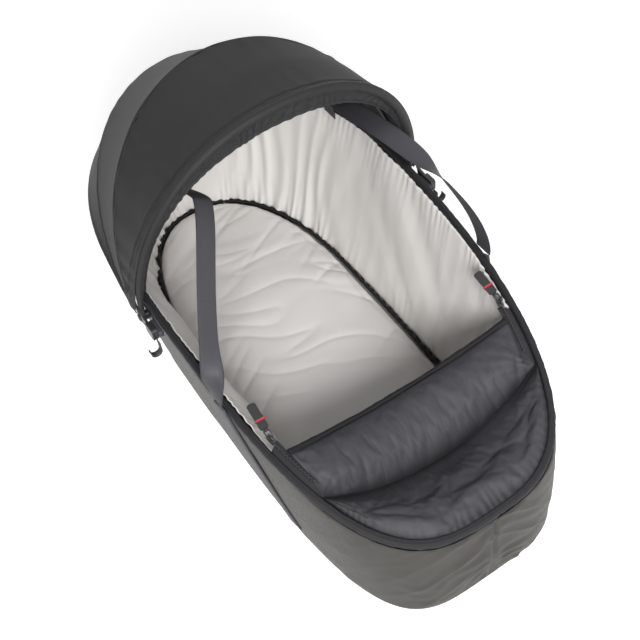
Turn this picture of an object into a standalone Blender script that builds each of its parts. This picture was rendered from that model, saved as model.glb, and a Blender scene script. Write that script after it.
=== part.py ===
"""A soft carrycot with a folding hood, a padded foot apron and two webbing handles.

Metres, +Z up. X runs across the cot, +Y points to the head end, and the base rests on Z = 0.
"""

import math

import bmesh
import bpy
import numpy as np
from mathutils import Vector

# Clearances
GAP = 0.0003
CUT_OVERRUN = 0.002

# Plan of the rim
RIM_HALF_WIDTH = 0.1886
HEAD_REACH = 0.372
FOOT_REACH = 0.3725
WIDEST_AT = 0.083
HEAD_ROUNDNESS = 2.0
FOOT_ROUNDNESS = 3.02
RIM_HEIGHT_HEAD = 0.226
RIM_HEIGHT_MIDDLE = 0.2434
RIM_HEIGHT_FOOT = 0.145
STATIONS_A_SIDE = 36
SAME_ANGLE = math.radians(0.2)

# Base of the outer shell
BASE_HALF_WIDTH = 0.1555
BASE_HEAD_REACH = 0.352
BASE_FOOT_REACH = 0.3800
BASE_FOOT_ROUNDNESS = 4.2
SIDE_BULGE = 0.001
END_BULGE = 0.002
BASE_CORNER_RADIUS = 0.012
SHELL_THICKNESS = 0.0022
WALL_SHARES = (0.25, 0.5, 0.75)

# Base board and wall stiffeners
BOARD_THICKNESS = 0.005
BOARD_INSET = 0.010
STIFFENER_THICKNESS = 0.002
STIFFENER_FOOT_CLEARANCE = 0.022
STIFFENER_RIM_CLEARANCE = 0.020
SIDE_PANEL_FIRST_Y = -0.235
SIDE_PANEL_LAST_Y = 0.235
END_PANEL_SPACING = 0.012

# Lining
LINER_TOP_INSET = 0.0060
LINER_THICKNESS = 0.0022
LINER_FLOOR_THICKNESS = 0.0016
LINER_SIDE_INSET = 0.0210
LINER_HEAD_INSET = 0.0120
LINER_FOOT_INSET = 0.0360
LINER_LOW_HALF_WIDTH = BASE_HALF_WIDTH - LINER_SIDE_INSET
LINER_LOW_HEAD_REACH = BASE_HEAD_REACH - LINER_HEAD_INSET
LINER_LOW_FOOT_REACH = BASE_FOOT_REACH - LINER_FOOT_INSET
LINER_LOW_HEIGHT = 0.030
LOW_HEAD_ROUNDNESS = 2.35
LOW_FOOT_ROUNDNESS = 3.6
PLEAT_DEPTH = 0.0045
PLEATS = 24

# Rim binding and zip
BINDING_WIDTH = 0.0082
BINDING_HEIGHT = 0.0100
TAPE_WIDTH = 0.0065
TAPE_THICKNESS = 0.0012
TAPE_DROP = 0.0040
TEETH_WIDTH = 0.0033
TEETH_HEIGHT = 0.0030
TEETH_DROP = 0.0020
ZIP_END_Y = -0.200
ZIP_FOOT_Y = -0.258
ZIP_STEPS = 10

# Mattress
MATTRESS_CLEARANCE = 0.0055
MATTRESS_HALF_WIDTH = LINER_LOW_HALF_WIDTH - MATTRESS_CLEARANCE
MATTRESS_HEAD_REACH = LINER_LOW_HEAD_REACH - MATTRESS_CLEARANCE
MATTRESS_FOOT_REACH = LINER_LOW_FOOT_REACH - MATTRESS_CLEARANCE
MATTRESS_EDGE_HEIGHT = 0.0260
MATTRESS_CROWN = 0.0150
MATTRESS_TUCK = 0.0045
PIPING_RADIUS = 0.0026
SCALLOP_DEPTH = 0.0008
MATTRESS_PUCKERS = 24

# Hood: the pivot line and the arcs that the cloth follows over the bows
PIVOT_Y = 0.0438
PIVOT_BELOW_RIM = 0.0314
CLOTH_THICKNESS = 0.0015
FRONT_PROUD = 0.0121
FRONT_REACH = 0.2494
FRONT_TILT = math.radians(-8.6)
MIDDLE_PROUD = 0.0124
MIDDLE_REACH = 0.2518
MIDDLE_TILT = math.radians(27.7)
REAR_PROUD = 0.0094
REAR_REACH = 0.2874
REAR_TILT = math.radians(65.6)
FRONT_ROUNDNESS = 2.156
MIDDLE_ROUNDNESS = 2.06
REAR_ROUNDNESS = 2.02
ARC_STEPS = 28
PANEL_STEPS = 4
CLOTH_START = 0.014
PIVOT_COVER = 0.0034
PIVOT_COVER_REACH = 0.060
PANEL_SAG = 0.0030
HEM_PROUD = 0.0085
HEM_DROP = 0.0110
HEM_RISE_REACH = 0.070

# Hood bows
BOW_WIDTH = 0.0060
BOW_THICKNESS = 0.0024
BOW_TUCK = 0.0014
REAR_BOW_TUCK = 0.0030
FRONT_BOW_PROUD = 0.0054
MIDDLE_BOW_PROUD = 0.0084
BOW_START = 0.0045
REAR_BOW_START = 0.0960
EYELET_RADIUS = 0.0070
PIN_RADIUS = 0.0025
PIN_CLEARANCE = 0.0004
PIN_HEAD_RADIUS = 0.0048
PIN_HEAD_THICKNESS = 0.0016
SLEEVE_RADIUS = 0.0055
SLEEVE_WALL = 0.0019
SLEEVE_START = 0.055
RUFFLE_WIDTH = 0.0230
RUFFLE_SIDE_WIDTH = 0.0045
RUFFLE_THICKNESS = 0.0016
RUFFLE_WAVE = 0.0024
RUFFLE_GATHERS = 19

# Pivot plates
PLATE_LENGTH = 0.036
PLATE_HEIGHT = 0.022
PLATE_THICKNESS = 0.0022
BOSS_RADIUS = 0.0060

# Clips at the lower corners of the hood
CLIP_LENGTH = 0.0170
CLIP_SHOULDER = 0.0220
CLIP_NECK = 0.0120
CLIP_SEAT_DEPTH = 0.0055
CLIP_THICKNESS = 0.0032
CLIP_TO_PIVOT = 0.0105
PRONG_LENGTH = 0.0120
PRONG_WIDTH = 0.0028
PRONG_BARB = 0.0010
SOCKET_LENGTH = 0.0190
SOCKET_HEIGHT = 0.0170
SOCKET_THICKNESS = 0.0066
SOCKET_WALL = 0.0014
CLIP_PLAY = 0.0004
CLIP_ABOVE_PIVOT = 0.0144
ANCHOR_LENGTH = 0.0240
ANCHOR_HEIGHT = 0.0100
ANCHOR_THICKNESS = 0.0060
TAIL_WIDTH = 0.0080
TAIL_THICKNESS = 0.0012
TAIL_DROP = 0.0130
TAIL_CURL_RADIUS = 0.0065

# Webbing handles
WEBBING_WIDTH = 0.0250
WEBBING_THICKNESS = 0.0016
HANDLE_FOOT_Y = -0.119
HANDLE_HEAD_Y = 0.180
HANDLE_STEPS = 60
LEFT_RISE = 0.143
LEFT_LEAN = math.radians(34.0)
LEFT_LEG_LEAN = math.radians(12.0)
LEFT_SKEW = math.radians(5.0)
LEFT_ROUNDNESS = 1.36
RIGHT_RISE = 0.094
RIGHT_LEAN = math.radians(19.0)
RIGHT_LEG_LEAN = math.radians(9.0)
RIGHT_SKEW = math.radians(11.0)
RIGHT_ROUNDNESS = 1.70
LEFT_TWIST_SHARES = (0.0, 0.20)
RIGHT_TWIST_SHARES = (0.26, 0.46)
HEAD_TWIST_SHARES = (0.14, 0.42)
HANDLE_STUB = 0.004
STRIP_LOW_SHIFT = 0.085
STRIP_LOW_HEIGHT = 0.030
STRIP_PROUD = 0.0006
STRIP_DROP = 0.0060
TAB_DROP = 0.0095
TAB_THICKNESS = 0.0012

# Apron
APRON_CORNER = 0.006
SLIDER_ROOM = 0.0018
CREASE_Y = -0.263
CREASE_DIP = 0.0060
CREASE_GAP = 0.0008
HEM_SIDE_Y = -0.2006
HEM_BOW = 0.008
APRON_SAG = 0.030
APRON_EDGE = 0.0015
FRONT_PAD = 0.0140
FOOT_PAD = 0.0090
APRON_COLUMNS = 20
APRON_ROWS = 7
HEM_ROLL_RADIUS = 0.0042

# Zip sliders and pull tabs
SLIDER_LENGTH = 0.0120
SLIDER_TRAVEL = 0.0300
SLIDER_WALL = 0.0010
SLIDER_PLAY = 0.0005
BAIL_RADIUS = 0.0026
BAIL_WIRE = 0.0008
LINK_LENGTH = 0.0110
LINK_WIDTH = 0.0064
LINK_WIRE = 0.0008
LINK_CORNER_RADIUS = 0.0016
BARREL_RADIUS = 0.0019
BARREL_PLAY = 0.0003
PULL_LENGTH = 0.0330
PULL_WIDTH = 0.0105
PULL_THICKNESS = 0.0020
PULL_CORNER_RADIUS = 0.0028
STRIPE_WIDTH = 0.0024
STRIPE_THICKNESS = 0.0005
STRIPE_SHARE = 0.32
PULL_SWING = math.radians(13)

# Colour, roughness and metallic value of each finish
FINISHES = {
    "shell_cloth": ((0.130, 0.122, 0.105), 0.62, 0.0),
    "hood_cloth": ((0.048, 0.048, 0.051), 0.66, 0.0),
    "apron_cloth": ((0.072, 0.072, 0.082), 0.48, 0.0),
    "binding_cloth": ((0.017, 0.017, 0.022), 0.60, 0.0),
    "lining_cloth": ((0.680, 0.650, 0.620), 0.85, 0.0),
    "mattress_cloth": ((0.560, 0.530, 0.510), 0.88, 0.0),
    "webbing": ((0.058, 0.058, 0.070), 0.58, 0.0),
    "black_plastic": ((0.020, 0.020, 0.022), 0.38, 0.0),
    "red_mark": ((0.450, 0.045, 0.065), 0.45, 0.0),
    "stiff_board": ((0.300, 0.250, 0.180), 0.80, 0.0),
    "steel": ((0.450, 0.450, 0.460), 0.30, 1.0),
}

SIDES = (("left", -1), ("right", 1))


def clear_scene():
    """Remove whatever the new scene holds."""
    for item in list(bpy.data.objects):
        bpy.data.objects.remove(item, do_unlink=True)


def mix(low, high, share):
    return low + (high - low) * share


def swell(share):
    """A hump that is 0 at both ends and 1 halfway."""
    return 4.0 * share * (1.0 - share)


def smooth(share):
    share = min(1.0, max(0.0, share))
    return share * share * (3.0 - 2.0 * share)


def power(value, exponent):
    """A power that keeps the sign of its base."""
    return math.copysign(abs(value) ** exponent, value)


# Plan curves of the cot

def plan_point(angle, half_width, head, foot, head_round, foot_round):
    """A point of the cot's outline: angle 0 is the foot, a half turn is the head."""
    across = math.sin(angle)
    along = math.cos(angle)
    if along > 0:
        x = half_width * power(across, 2.0 / foot_round)
        y = WIDEST_AT - (foot + WIDEST_AT) * abs(along) ** (2.0 / foot_round)
    else:
        x = half_width * power(across, 2.0 / head_round)
        y = WIDEST_AT + (head - WIDEST_AT) * abs(along) ** (2.0 / head_round)
    return x, y


def rim_height(y):
    """Height of the rim: one parabola through its foot, middle and head heights."""
    spots = (-FOOT_REACH, WIDEST_AT, HEAD_REACH)
    heights = (RIM_HEIGHT_FOOT, RIM_HEIGHT_MIDDLE, RIM_HEIGHT_HEAD)
    total = 0.0
    for place, spot in enumerate(spots):
        weight = heights[place]
        for other, other_spot in enumerate(spots):
            if other != place:
                weight *= (y - other_spot) / (spot - other_spot)
        total += weight
    return total


PIVOT_HEIGHT = rim_height(PIVOT_Y) - PIVOT_BELOW_RIM
CLIP_HEIGHT = PIVOT_HEIGHT + CLIP_ABOVE_PIVOT
FRONT_HALF_WIDTH = RIM_HALF_WIDTH + FRONT_PROUD
MIDDLE_HALF_WIDTH = RIM_HALF_WIDTH + MIDDLE_PROUD
REAR_HALF_WIDTH = RIM_HALF_WIDTH + REAR_PROUD
FRONT_BOW_HALF_WIDTH = RIM_HALF_WIDTH + FRONT_BOW_PROUD
MIDDLE_BOW_HALF_WIDTH = RIM_HALF_WIDTH + MIDDLE_BOW_PROUD


def even_angles(point_at, first, last, count):
    """Angles that divide a curve between first and last into stretches of equal length."""
    fine = np.linspace(first, last, 1200)
    points = np.array([point_at(angle) for angle in fine])
    lengths = np.concatenate(([0.0], np.cumsum(np.linalg.norm(np.diff(points, axis=0), axis=1))))
    wanted = np.linspace(0.0, lengths[-1], count + 1)
    return [float(angle) for angle in np.interp(wanted, lengths, fine)]


def rim_plan(angle, inset=0.0):
    return plan_point(angle, RIM_HALF_WIDTH - inset, HEAD_REACH - inset, FOOT_REACH - inset,
                      HEAD_ROUNDNESS, FOOT_ROUNDNESS)


RIGHT_ANGLES = even_angles(rim_plan, 0.0, math.pi, STATIONS_A_SIDE)
ANGLES = RIGHT_ANGLES + [-angle for angle in reversed(RIGHT_ANGLES[1:-1])]


def angle_at_y(y, side=1, curve=rim_plan):
    """The angle at which the rim, or another curve, passes a given y on one side."""
    low = 0.0
    high = math.pi
    for _ in range(60):
        middle = (low + high) / 2
        if curve(middle)[1] < y:
            low = middle
        else:
            high = middle
    return side * low


def rim_point(angle, inset, drop):
    """A point pulled in from the rim line and let down below it."""
    x, y = rim_plan(angle, inset)
    return Vector((x, y, rim_height(y) - drop))


def wall_plan(angle, share, inset):
    """A point of the outer wall at a share of its height, pulled in by an inset."""
    side = SIDE_BULGE * swell(share) - inset
    end = END_BULGE * swell(share) - inset
    return plan_point(angle,
                      mix(BASE_HALF_WIDTH, RIM_HALF_WIDTH, share) + side,
                      mix(BASE_HEAD_REACH, HEAD_REACH, share) + side,
                      mix(BASE_FOOT_REACH, FOOT_REACH, share) + end,
                      HEAD_ROUNDNESS,
                      mix(BASE_FOOT_ROUNDNESS, FOOT_ROUNDNESS, share))


def wall_at_height(angle, height, inset):
    share = height / rim_height(rim_plan(angle)[1])
    x, y = wall_plan(angle, share, inset)
    return Vector((x, y, height))


def wall_at_share(angle, share, inset):
    return wall_at_height(angle, rim_height(rim_plan(angle)[1]) * share, inset)


def wall_top(angle, inset):
    """The edge of the shell, just under the binding."""
    drop = BINDING_HEIGHT + GAP
    point = wall_at_height(angle, rim_height(rim_plan(angle)[1]) - drop, inset)
    return Vector((point.x, point.y, rim_height(point.y) - drop))


def wall_x(y, height, inset=0.0):
    """Half width of the outer wall at a given y and height."""
    share = height / rim_height(y)
    half_width = mix(BASE_HALF_WIDTH, RIM_HALF_WIDTH, share) + SIDE_BULGE * swell(share) - inset
    if y < WIDEST_AT:
        reach = mix(BASE_FOOT_REACH, FOOT_REACH, share) + END_BULGE * swell(share) - inset
        roundness = mix(BASE_FOOT_ROUNDNESS, FOOT_ROUNDNESS, share)
        ratio = (WIDEST_AT - y) / (reach + WIDEST_AT)
    else:
        reach = mix(BASE_HEAD_REACH, HEAD_REACH, share) + SIDE_BULGE * swell(share) - inset
        roundness = HEAD_ROUNDNESS
        ratio = (y - WIDEST_AT) / (reach - WIDEST_AT)
    return half_width * (1.0 - ratio ** roundness) ** (1.0 / roundness)


# Mesh helpers

def skin(rings, closed_rings=True, wrap=False):
    """Join rings of points, each as long as the next, into one closed body."""
    bm = bmesh.new()
    rows = [[bm.verts.new(point) for point in ring] for ring in rings]
    pairs = list(zip(rows, rows[1:]))
    if wrap:
        pairs.append((rows[-1], rows[0]))
    count = len(rows[0])
    steps = count if closed_rings else count - 1
    for low, high in pairs:
        for step in range(steps):
            after = (step + 1) % count
            bm.faces.new((low[step], low[after], high[after], high[step]))
    if not wrap:
        bm.faces.new(rows[0])
        bm.faces.new(rows[-1])
    bmesh.ops.recalc_face_normals(bm, faces=bm.faces)
    return bm


def slab(top, bottom):
    """Close two grids of points, one over the other, into one body."""
    bm = bmesh.new()
    upper = [[bm.verts.new(point) for point in row] for row in top]
    lower = [[bm.verts.new(point) for point in row] for row in bottom]
    rows = len(upper)
    columns = len(upper[0])
    for row in range(rows - 1):
        for column in range(columns - 1):
            for grid in (upper, lower):
                bm.faces.new((grid[row][column], grid[row][column + 1],
                              grid[row + 1][column + 1], grid[row + 1][column]))
    border = [(0, column) for column in range(columns)]
    border += [(row, columns - 1) for row in range(1, rows)]
    border += [(rows - 1, column) for column in range(columns - 2, -1, -1)]
    border += [(row, 0) for row in range(rows - 2, 0, -1)]
    for place, (row, column) in enumerate(border):
        next_row, next_column = border[(place + 1) % len(border)]
        bm.faces.new((upper[row][column], upper[next_row][next_column],
                      lower[next_row][next_column], lower[row][column]))
    bmesh.ops.recalc_face_normals(bm, faces=bm.faces)
    return bm


def ribbon(centres, widths, width, thickness):
    """A flat strap along a route, with the direction of its width at every point."""
    rings = []
    last = len(centres) - 1
    for place, centre in enumerate(centres):
        tangent = (centres[min(place + 1, last)] - centres[max(place - 1, 0)]).normalized()
        across = widths[place] - tangent * widths[place].dot(tangent)
        across.normalize()
        normal = tangent.cross(across)
        half_width = across * (width / 2)
        half_thickness = normal * (thickness / 2)
        rings.append([centre + half_width + half_thickness, centre - half_width + half_thickness,
                      centre - half_width - half_thickness, centre + half_width - half_thickness])
    bm = skin(rings)
    bmesh.ops.triangulate(bm, faces=bm.faces)
    return bm


def extruded(outline, start, thickness):
    """A plate: an outline in Y and Z, made thick along X from start."""
    rings = [[Vector((start, y, z)) for y, z in outline],
             [Vector((start + thickness, y, z)) for y, z in outline]]
    return skin(rings)


def arc(centre_y, centre_z, radius, first, last, steps):
    """Points of a circle's arc in Y and Z, angles from +Y towards +Z."""
    points = []
    for step in range(steps + 1):
        angle = mix(first, last, step / steps)
        points.append((centre_y + radius * math.cos(angle), centre_z + radius * math.sin(angle)))
    return points


def rounded_outline(length, height, radius, steps=3):
    """A rounded rectangle about the origin, in Y and Z."""
    corners = ((1, 1, 0.0), (-1, 1, 0.5), (-1, -1, 1.0), (1, -1, 1.5))
    outline = []
    for side_y, side_z, turn in corners:
        outline += arc(side_y * (length / 2 - radius), side_z * (height / 2 - radius), radius,
                       turn * math.pi, (turn + 0.5) * math.pi, steps)
    return outline


def moved(outline, y, z):
    return [(point_y + y, point_z + z) for point_y, point_z in outline]


def turned(profile, centre, steps=16):
    """A solid of revolution about a line along X: (distance along X, radius) pairs."""
    rings = []
    for distance, radius in profile:
        rings.append([Vector((centre.x + distance,
                              centre.y + radius * math.cos(2 * math.pi * step / steps),
                              centre.z + radius * math.sin(2 * math.pi * step / steps)))
                      for step in range(steps)])
    return skin(rings)


def wire(points, radius, sides=6, closed=False):
    """A round wire along a route that stays in one plane or nearly so."""
    count = len(points)
    rings = []
    normal = None
    for place, point in enumerate(points):
        if closed:
            tangent = points[(place + 1) % count] - points[place - 1]
        else:
            tangent = points[min(place + 1, count - 1)] - points[max(place - 1, 0)]
        tangent.normalize()
        if normal is None:
            normal = tangent.orthogonal().normalized()
        normal = (normal - tangent * normal.dot(tangent)).normalized()
        side = tangent.cross(normal)
        rings.append([point + radius * (normal * math.cos(2 * math.pi * step / sides)
                                        + side * math.sin(2 * math.pi * step / sides))
                      for step in range(sides)])
    return skin(rings, wrap=closed)


def add(name, bm, finish, origin=None):
    """Make a named object with its own material; its origin lies on its joint where it has one."""
    place = Vector(origin) if origin is not None else Vector((0, 0, 0))
    bmesh.ops.translate(bm, verts=bm.verts, vec=-place)
    mesh = bpy.data.meshes.new(name)
    bm.to_mesh(mesh)
    bm.free()
    mesh.shade_smooth()
    mesh.set_sharp_from_angle(angle=math.radians(40))
    item = bpy.data.objects.new(name, mesh)
    item.location = place
    bpy.context.scene.collection.objects.link(item)
    colour, roughness, metallic = FINISHES[finish]
    material = bpy.data.materials.new(name)
    material.use_nodes = True
    shader = material.node_tree.nodes["Principled BSDF"]
    shader.inputs["Base Color"].default_value = (*colour, 1.0)
    shader.inputs["Roughness"].default_value = roughness
    shader.inputs["Metallic"].default_value = metallic
    mesh.materials.append(material)
    return item


def add_tool(name, bm):
    """A guide that only shapes another object."""
    item = add(name, bm, "steel")
    item.hide_render = True
    item.display_type = "WIRE"
    return item


def combine(item, tool, operation):
    modifier = item.modifiers.new(operation.lower(), "BOOLEAN")
    modifier.operation = operation
    modifier.object = tool
    modifier.solver = "EXACT"


# The tub: shell, board, stiffeners, lining, binding

def make_shell():
    radius = BASE_CORNER_RADIUS
    rings = []
    for turn in (0.0, 0.33, 0.67, 1.0):
        angle = turn * math.pi / 2
        rings.append([wall_at_height(a, radius * (1 - math.cos(angle)),
                                     radius * (1 - math.sin(angle))) for a in ANGLES])
    for share in WALL_SHARES:
        rings.append([wall_at_share(a, share, 0.0) for a in ANGLES])
    rings.append([wall_top(a, 0.0) for a in ANGLES])
    rings.append([wall_top(a, SHELL_THICKNESS) for a in ANGLES])
    for share in reversed(WALL_SHARES):
        rings.append([wall_at_share(a, share, SHELL_THICKNESS) for a in ANGLES])
    rings.append([wall_at_height(a, radius, SHELL_THICKNESS) for a in ANGLES])
    rings.append([wall_at_height(a, SHELL_THICKNESS, radius) for a in ANGLES])
    add("outer_shell", skin(rings), "shell_cloth")


def make_board():
    low = SHELL_THICKNESS + GAP
    rings = [[wall_at_height(a, height, BOARD_INSET + SHELL_THICKNESS) for a in ANGLES]
             for height in (low, low + BOARD_THICKNESS)]
    add("base_board", skin(rings), "stiff_board")


def board_top():
    return SHELL_THICKNESS + GAP + BOARD_THICKNESS


def make_stiffener(name, first, last):
    """A stiff panel that stands between the shell and the lining."""
    angles = [first]
    for angle in sorted(ANGLES_UNWRAPPED):
        if first + SAME_ANGLE < angle < last - SAME_ANGLE:
            angles.append(angle)
    angles.append(last)
    outer = SHELL_THICKNESS + GAP
    grids = []
    for inset in (outer, outer + STIFFENER_THICKNESS):
        rows = []
        for share in (0.0, *WALL_SHARES, 1.0):
            row = []
            for angle in angles:
                rim = rim_height(rim_plan(angle)[1])
                height = min(max(rim * share, STIFFENER_FOOT_CLEARANCE),
                             rim - STIFFENER_RIM_CLEARANCE)
                row.append(wall_at_height(angle, height, inset))
            rows.append(row)
        grids.append(rows)
    add(name, slab(*grids), "stiff_board")


ANGLES_UNWRAPPED = [a + turn for a in ANGLES for turn in (0.0, 2 * math.pi)]


def make_stiffeners():
    foot = angle_at_y(SIDE_PANEL_FIRST_Y)
    head = angle_at_y(SIDE_PANEL_LAST_Y)
    foot_next = angle_at_y(SIDE_PANEL_FIRST_Y - END_PANEL_SPACING)
    head_next = angle_at_y(SIDE_PANEL_LAST_Y + END_PANEL_SPACING)
    turn = 2 * math.pi
    make_stiffener("stiffener_right", foot, head)
    make_stiffener("stiffener_left", turn - head, turn - foot)
    make_stiffener("stiffener_head", head_next, turn - head_next)
    make_stiffener("stiffener_foot", -foot_next, foot_next)


def liner_plan(angle, share, inset):
    """The lining leans in from the rim to the edge of the mattress."""
    top = LINER_TOP_INSET
    return plan_point(angle,
                      mix(LINER_LOW_HALF_WIDTH, RIM_HALF_WIDTH - top, share) - inset,
                      mix(LINER_LOW_HEAD_REACH, HEAD_REACH - top, share) - inset,
                      mix(LINER_LOW_FOOT_REACH, FOOT_REACH - top, share) - inset,
                      mix(LOW_HEAD_ROUNDNESS, HEAD_ROUNDNESS, share),
                      mix(LOW_FOOT_ROUNDNESS, FOOT_ROUNDNESS, share))


def liner_point(place, share, inset):
    angle = ANGLES[place]
    x, y = liner_plan(angle, share, inset)
    top = rim_height(liner_plan(angle, 1.0, inset)[1]) - BINDING_HEIGHT - GAP
    return Vector((x, y, mix(LINER_LOW_HEIGHT, top, share)))


def pleat(place, share):
    """How far a gathered fold stands in from the lining at a station."""
    wave = 0.5 - 0.5 * math.cos(2 * math.pi * PLEATS * place / len(ANGLES))
    return PLEAT_DEPTH * wave * (0.35 + 0.65 * swell(share) ** 0.5)


def make_lining():
    places = range(len(ANGLES))
    floor = board_top() + GAP
    rings = [[Vector((*liner_plan(ANGLES[place], 0.0, 0.0), floor)) for place in places]]
    for share in (0.0, 0.5, 1.0):
        rings.append([liner_point(place, share, 0.0) for place in places])
    for share in (1.0, 0.82, 0.55, 0.28, 0.0):
        rings.append([liner_point(place, share, LINER_THICKNESS + pleat(place, share) * (share > 0))
                      for place in places])
    rings.append([Vector((*liner_plan(ANGLES[place], 0.0, LINER_THICKNESS),
                          floor + LINER_FLOOR_THICKNESS)) for place in places])
    add("lining", skin(rings), "lining_cloth")


def section_loops(section, angles):
    """One loop or run along the rim for each (inset, drop) corner of a section."""
    return [[rim_point(angle, inset, drop) for angle in angles] for inset, drop in section]


def make_binding():
    section = []
    for step in range(8):
        angle = math.pi / 8 + 2 * math.pi * step / 8
        section.append((BINDING_WIDTH / 2 + BINDING_WIDTH / 2 * power(math.cos(angle), 0.6),
                        BINDING_HEIGHT / 2 + BINDING_HEIGHT / 2 * power(math.sin(angle), 0.6)))
    add("rim_binding", skin(section_loops(section, ANGLES), wrap=True), "binding_cloth")


def run_angles(y, curve=rim_plan):
    """Stations of the foot run of the rim, ended at one y on both sides."""
    end = angle_at_y(y, 1, curve)
    inner = sorted(a for a in ANGLES if -end + SAME_ANGLE < a < end - SAME_ANGLE)
    return [-end] + inner + [end]


def zip_angles(side):
    """Stations of the zip on one side, from the apron's crease to where the slider rests."""
    first = angle_at_y(ZIP_FOOT_Y, side)
    last = angle_at_y(ZIP_END_Y, side)
    return [mix(first, last, step / ZIP_STEPS) for step in range(ZIP_STEPS + 1)]


def rail(section, angles):
    """A bar of a given section along a run of the rim."""
    loops = section_loops(section, angles)
    return skin([list(ring) for ring in zip(*loops)])


def tape_start():
    return BINDING_WIDTH + GAP


def teeth_start():
    return tape_start() + TAPE_WIDTH + GAP


def make_zip():
    """A tape and a row of teeth on each side."""
    near = tape_start()
    far = near + TAPE_WIDTH
    low = TAPE_DROP + TAPE_THICKNESS
    tape = [(near, TAPE_DROP), (far, TAPE_DROP), (far, low), (near, low)]
    near = teeth_start()
    far = near + TEETH_WIDTH
    edge = TEETH_WIDTH / 4
    low = TEETH_DROP + TEETH_HEIGHT
    teeth = [(near, TEETH_DROP + edge), (near + edge, TEETH_DROP), (far - edge, TEETH_DROP),
             (far, TEETH_DROP + edge), (far, low - edge), (far - edge, low), (near + edge, low),
             (near, low - edge)]
    for side_name, side in SIDES:
        angles = zip_angles(side)
        add(f"zip_tape_{side_name}", rail(tape, angles), "binding_cloth")
        add(f"zip_teeth_{side_name}", rail(teeth, angles), "black_plastic")


# Mattress

def mattress_point(angle, scale, height, inset=0.0):
    x, y = plan_point(angle, MATTRESS_HALF_WIDTH - inset, MATTRESS_HEAD_REACH - inset,
                      MATTRESS_FOOT_REACH - inset, LOW_HEAD_ROUNDNESS, LOW_FOOT_ROUNDNESS)
    return Vector((x * scale, y * scale, height))


def make_mattress():
    low = board_top() + GAP + LINER_FLOOR_THICKNESS + GAP
    edge = MATTRESS_EDGE_HEIGHT
    inset = PIPING_RADIUS * 2 + GAP
    rings = []
    for height_share, tuck in ((0.0, MATTRESS_TUCK), (0.3, 0.0), (1.0, 0.0)):
        height = mix(low, edge, height_share)
        rings.append([mattress_point(a, 1.0, height, inset + tuck) for a in ANGLES])
    for scale in (0.93, 0.80, 0.58, 0.30, 0.08):
        crown = MATTRESS_CROWN * (1 - scale ** 2.6)
        ring = []
        for place, a in enumerate(ANGLES):
            wave = 0.5 + 0.5 * math.cos(2 * math.pi * MATTRESS_PUCKERS * place / len(ANGLES))
            dip = MATTRESS_CROWN * 0.10 * wave * smooth((scale - 0.5) / 0.4)
            ring.append(mattress_point(a, scale, edge + crown - dip, inset))
        rings.append(ring)
    add("mattress", skin(rings), "mattress_cloth")
    loops = []
    for step in range(6):
        turn = 2 * math.pi * step / 6
        ring = []
        for place, a in enumerate(ANGLES):
            wave = math.cos(2 * math.pi * MATTRESS_PUCKERS * place / len(ANGLES))
            radius = PIPING_RADIUS - SCALLOP_DEPTH * (0.5 + 0.5 * wave)
            ring.append(mattress_point(a, 1.0, edge + radius * math.sin(turn),
                                       PIPING_RADIUS - radius * math.cos(turn)))
        loops.append(ring)
    add("mattress_piping", skin(loops, wrap=True), "binding_cloth")


# Hood

def arc_point(half_width, reach, tilt, roundness, angle, shift=0.0):
    """A point of a hood arc: it stands on the pivot line and leans by its tilt."""
    x = half_width * power(math.cos(angle), 2.0 / roundness)
    rise = reach * abs(math.sin(angle)) ** (2.0 / roundness)
    along = Vector((0, math.sin(tilt), math.cos(tilt)))
    square = Vector((0, math.cos(tilt), -math.sin(tilt)))
    return Vector((x, PIVOT_Y, PIVOT_HEIGHT)) + along * rise + square * shift


def arc_angles(half_width, reach, roundness, start, count=ARC_STEPS):
    """Angles along a hood arc, from a given distance off the pivot line on both sides."""
    first = math.asin((start / reach) ** (roundness / 2))

    def flat(angle):
        return arc_point(half_width, reach, 0.0, roundness, angle)[:]

    return even_angles(flat, first, math.pi - first, count)


def cover(point):
    """Hood cloth stands a little further out where it covers the pivots."""
    distance = math.hypot(point.y - PIVOT_Y, point.z - PIVOT_HEIGHT)
    out = PIVOT_COVER * max(0.0, 1.0 - distance / PIVOT_COVER_REACH) ** 2
    return point + Vector((math.copysign(out, point.x), 0, 0))


def cloth_row(half_width, reach, tilt, roundness, depth, shift):
    return [cover(arc_point(half_width - depth, reach - depth, tilt, roundness, angle, shift))
            for angle in arc_angles(half_width, reach, roundness, CLOTH_START)]


def between_rows(first, last, slack):
    """Rows of cloth from one arc to the next; slack sinks the cloth between them."""
    rows = []
    for step in range(PANEL_STEPS + 1):
        share = step / PANEL_STEPS
        row = []
        for place, (start, end) in enumerate(zip(first, last)):
            point = start.lerp(end, share)
            middle = math.sin(math.pi * place / (len(first) - 1))
            inward = Vector((-point.x, PIVOT_Y - point.y, PIVOT_HEIGHT - point.z)).normalized()
            row.append(point + inward * (slack * swell(share) * middle))
        rows.append(row)
    return rows


def panel(name, first_arc, last_arc, first_shift, last_shift):
    """A hood panel between two arcs."""
    grids = []
    for depth in (0.0, CLOTH_THICKNESS):
        first = cloth_row(*first_arc, depth, first_shift)
        last = cloth_row(*last_arc, depth, last_shift)
        grids.append(between_rows(first, last, PANEL_SAG))
    add(name, slab(*grids), "hood_cloth", (0, PIVOT_Y, PIVOT_HEIGHT))


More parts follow.
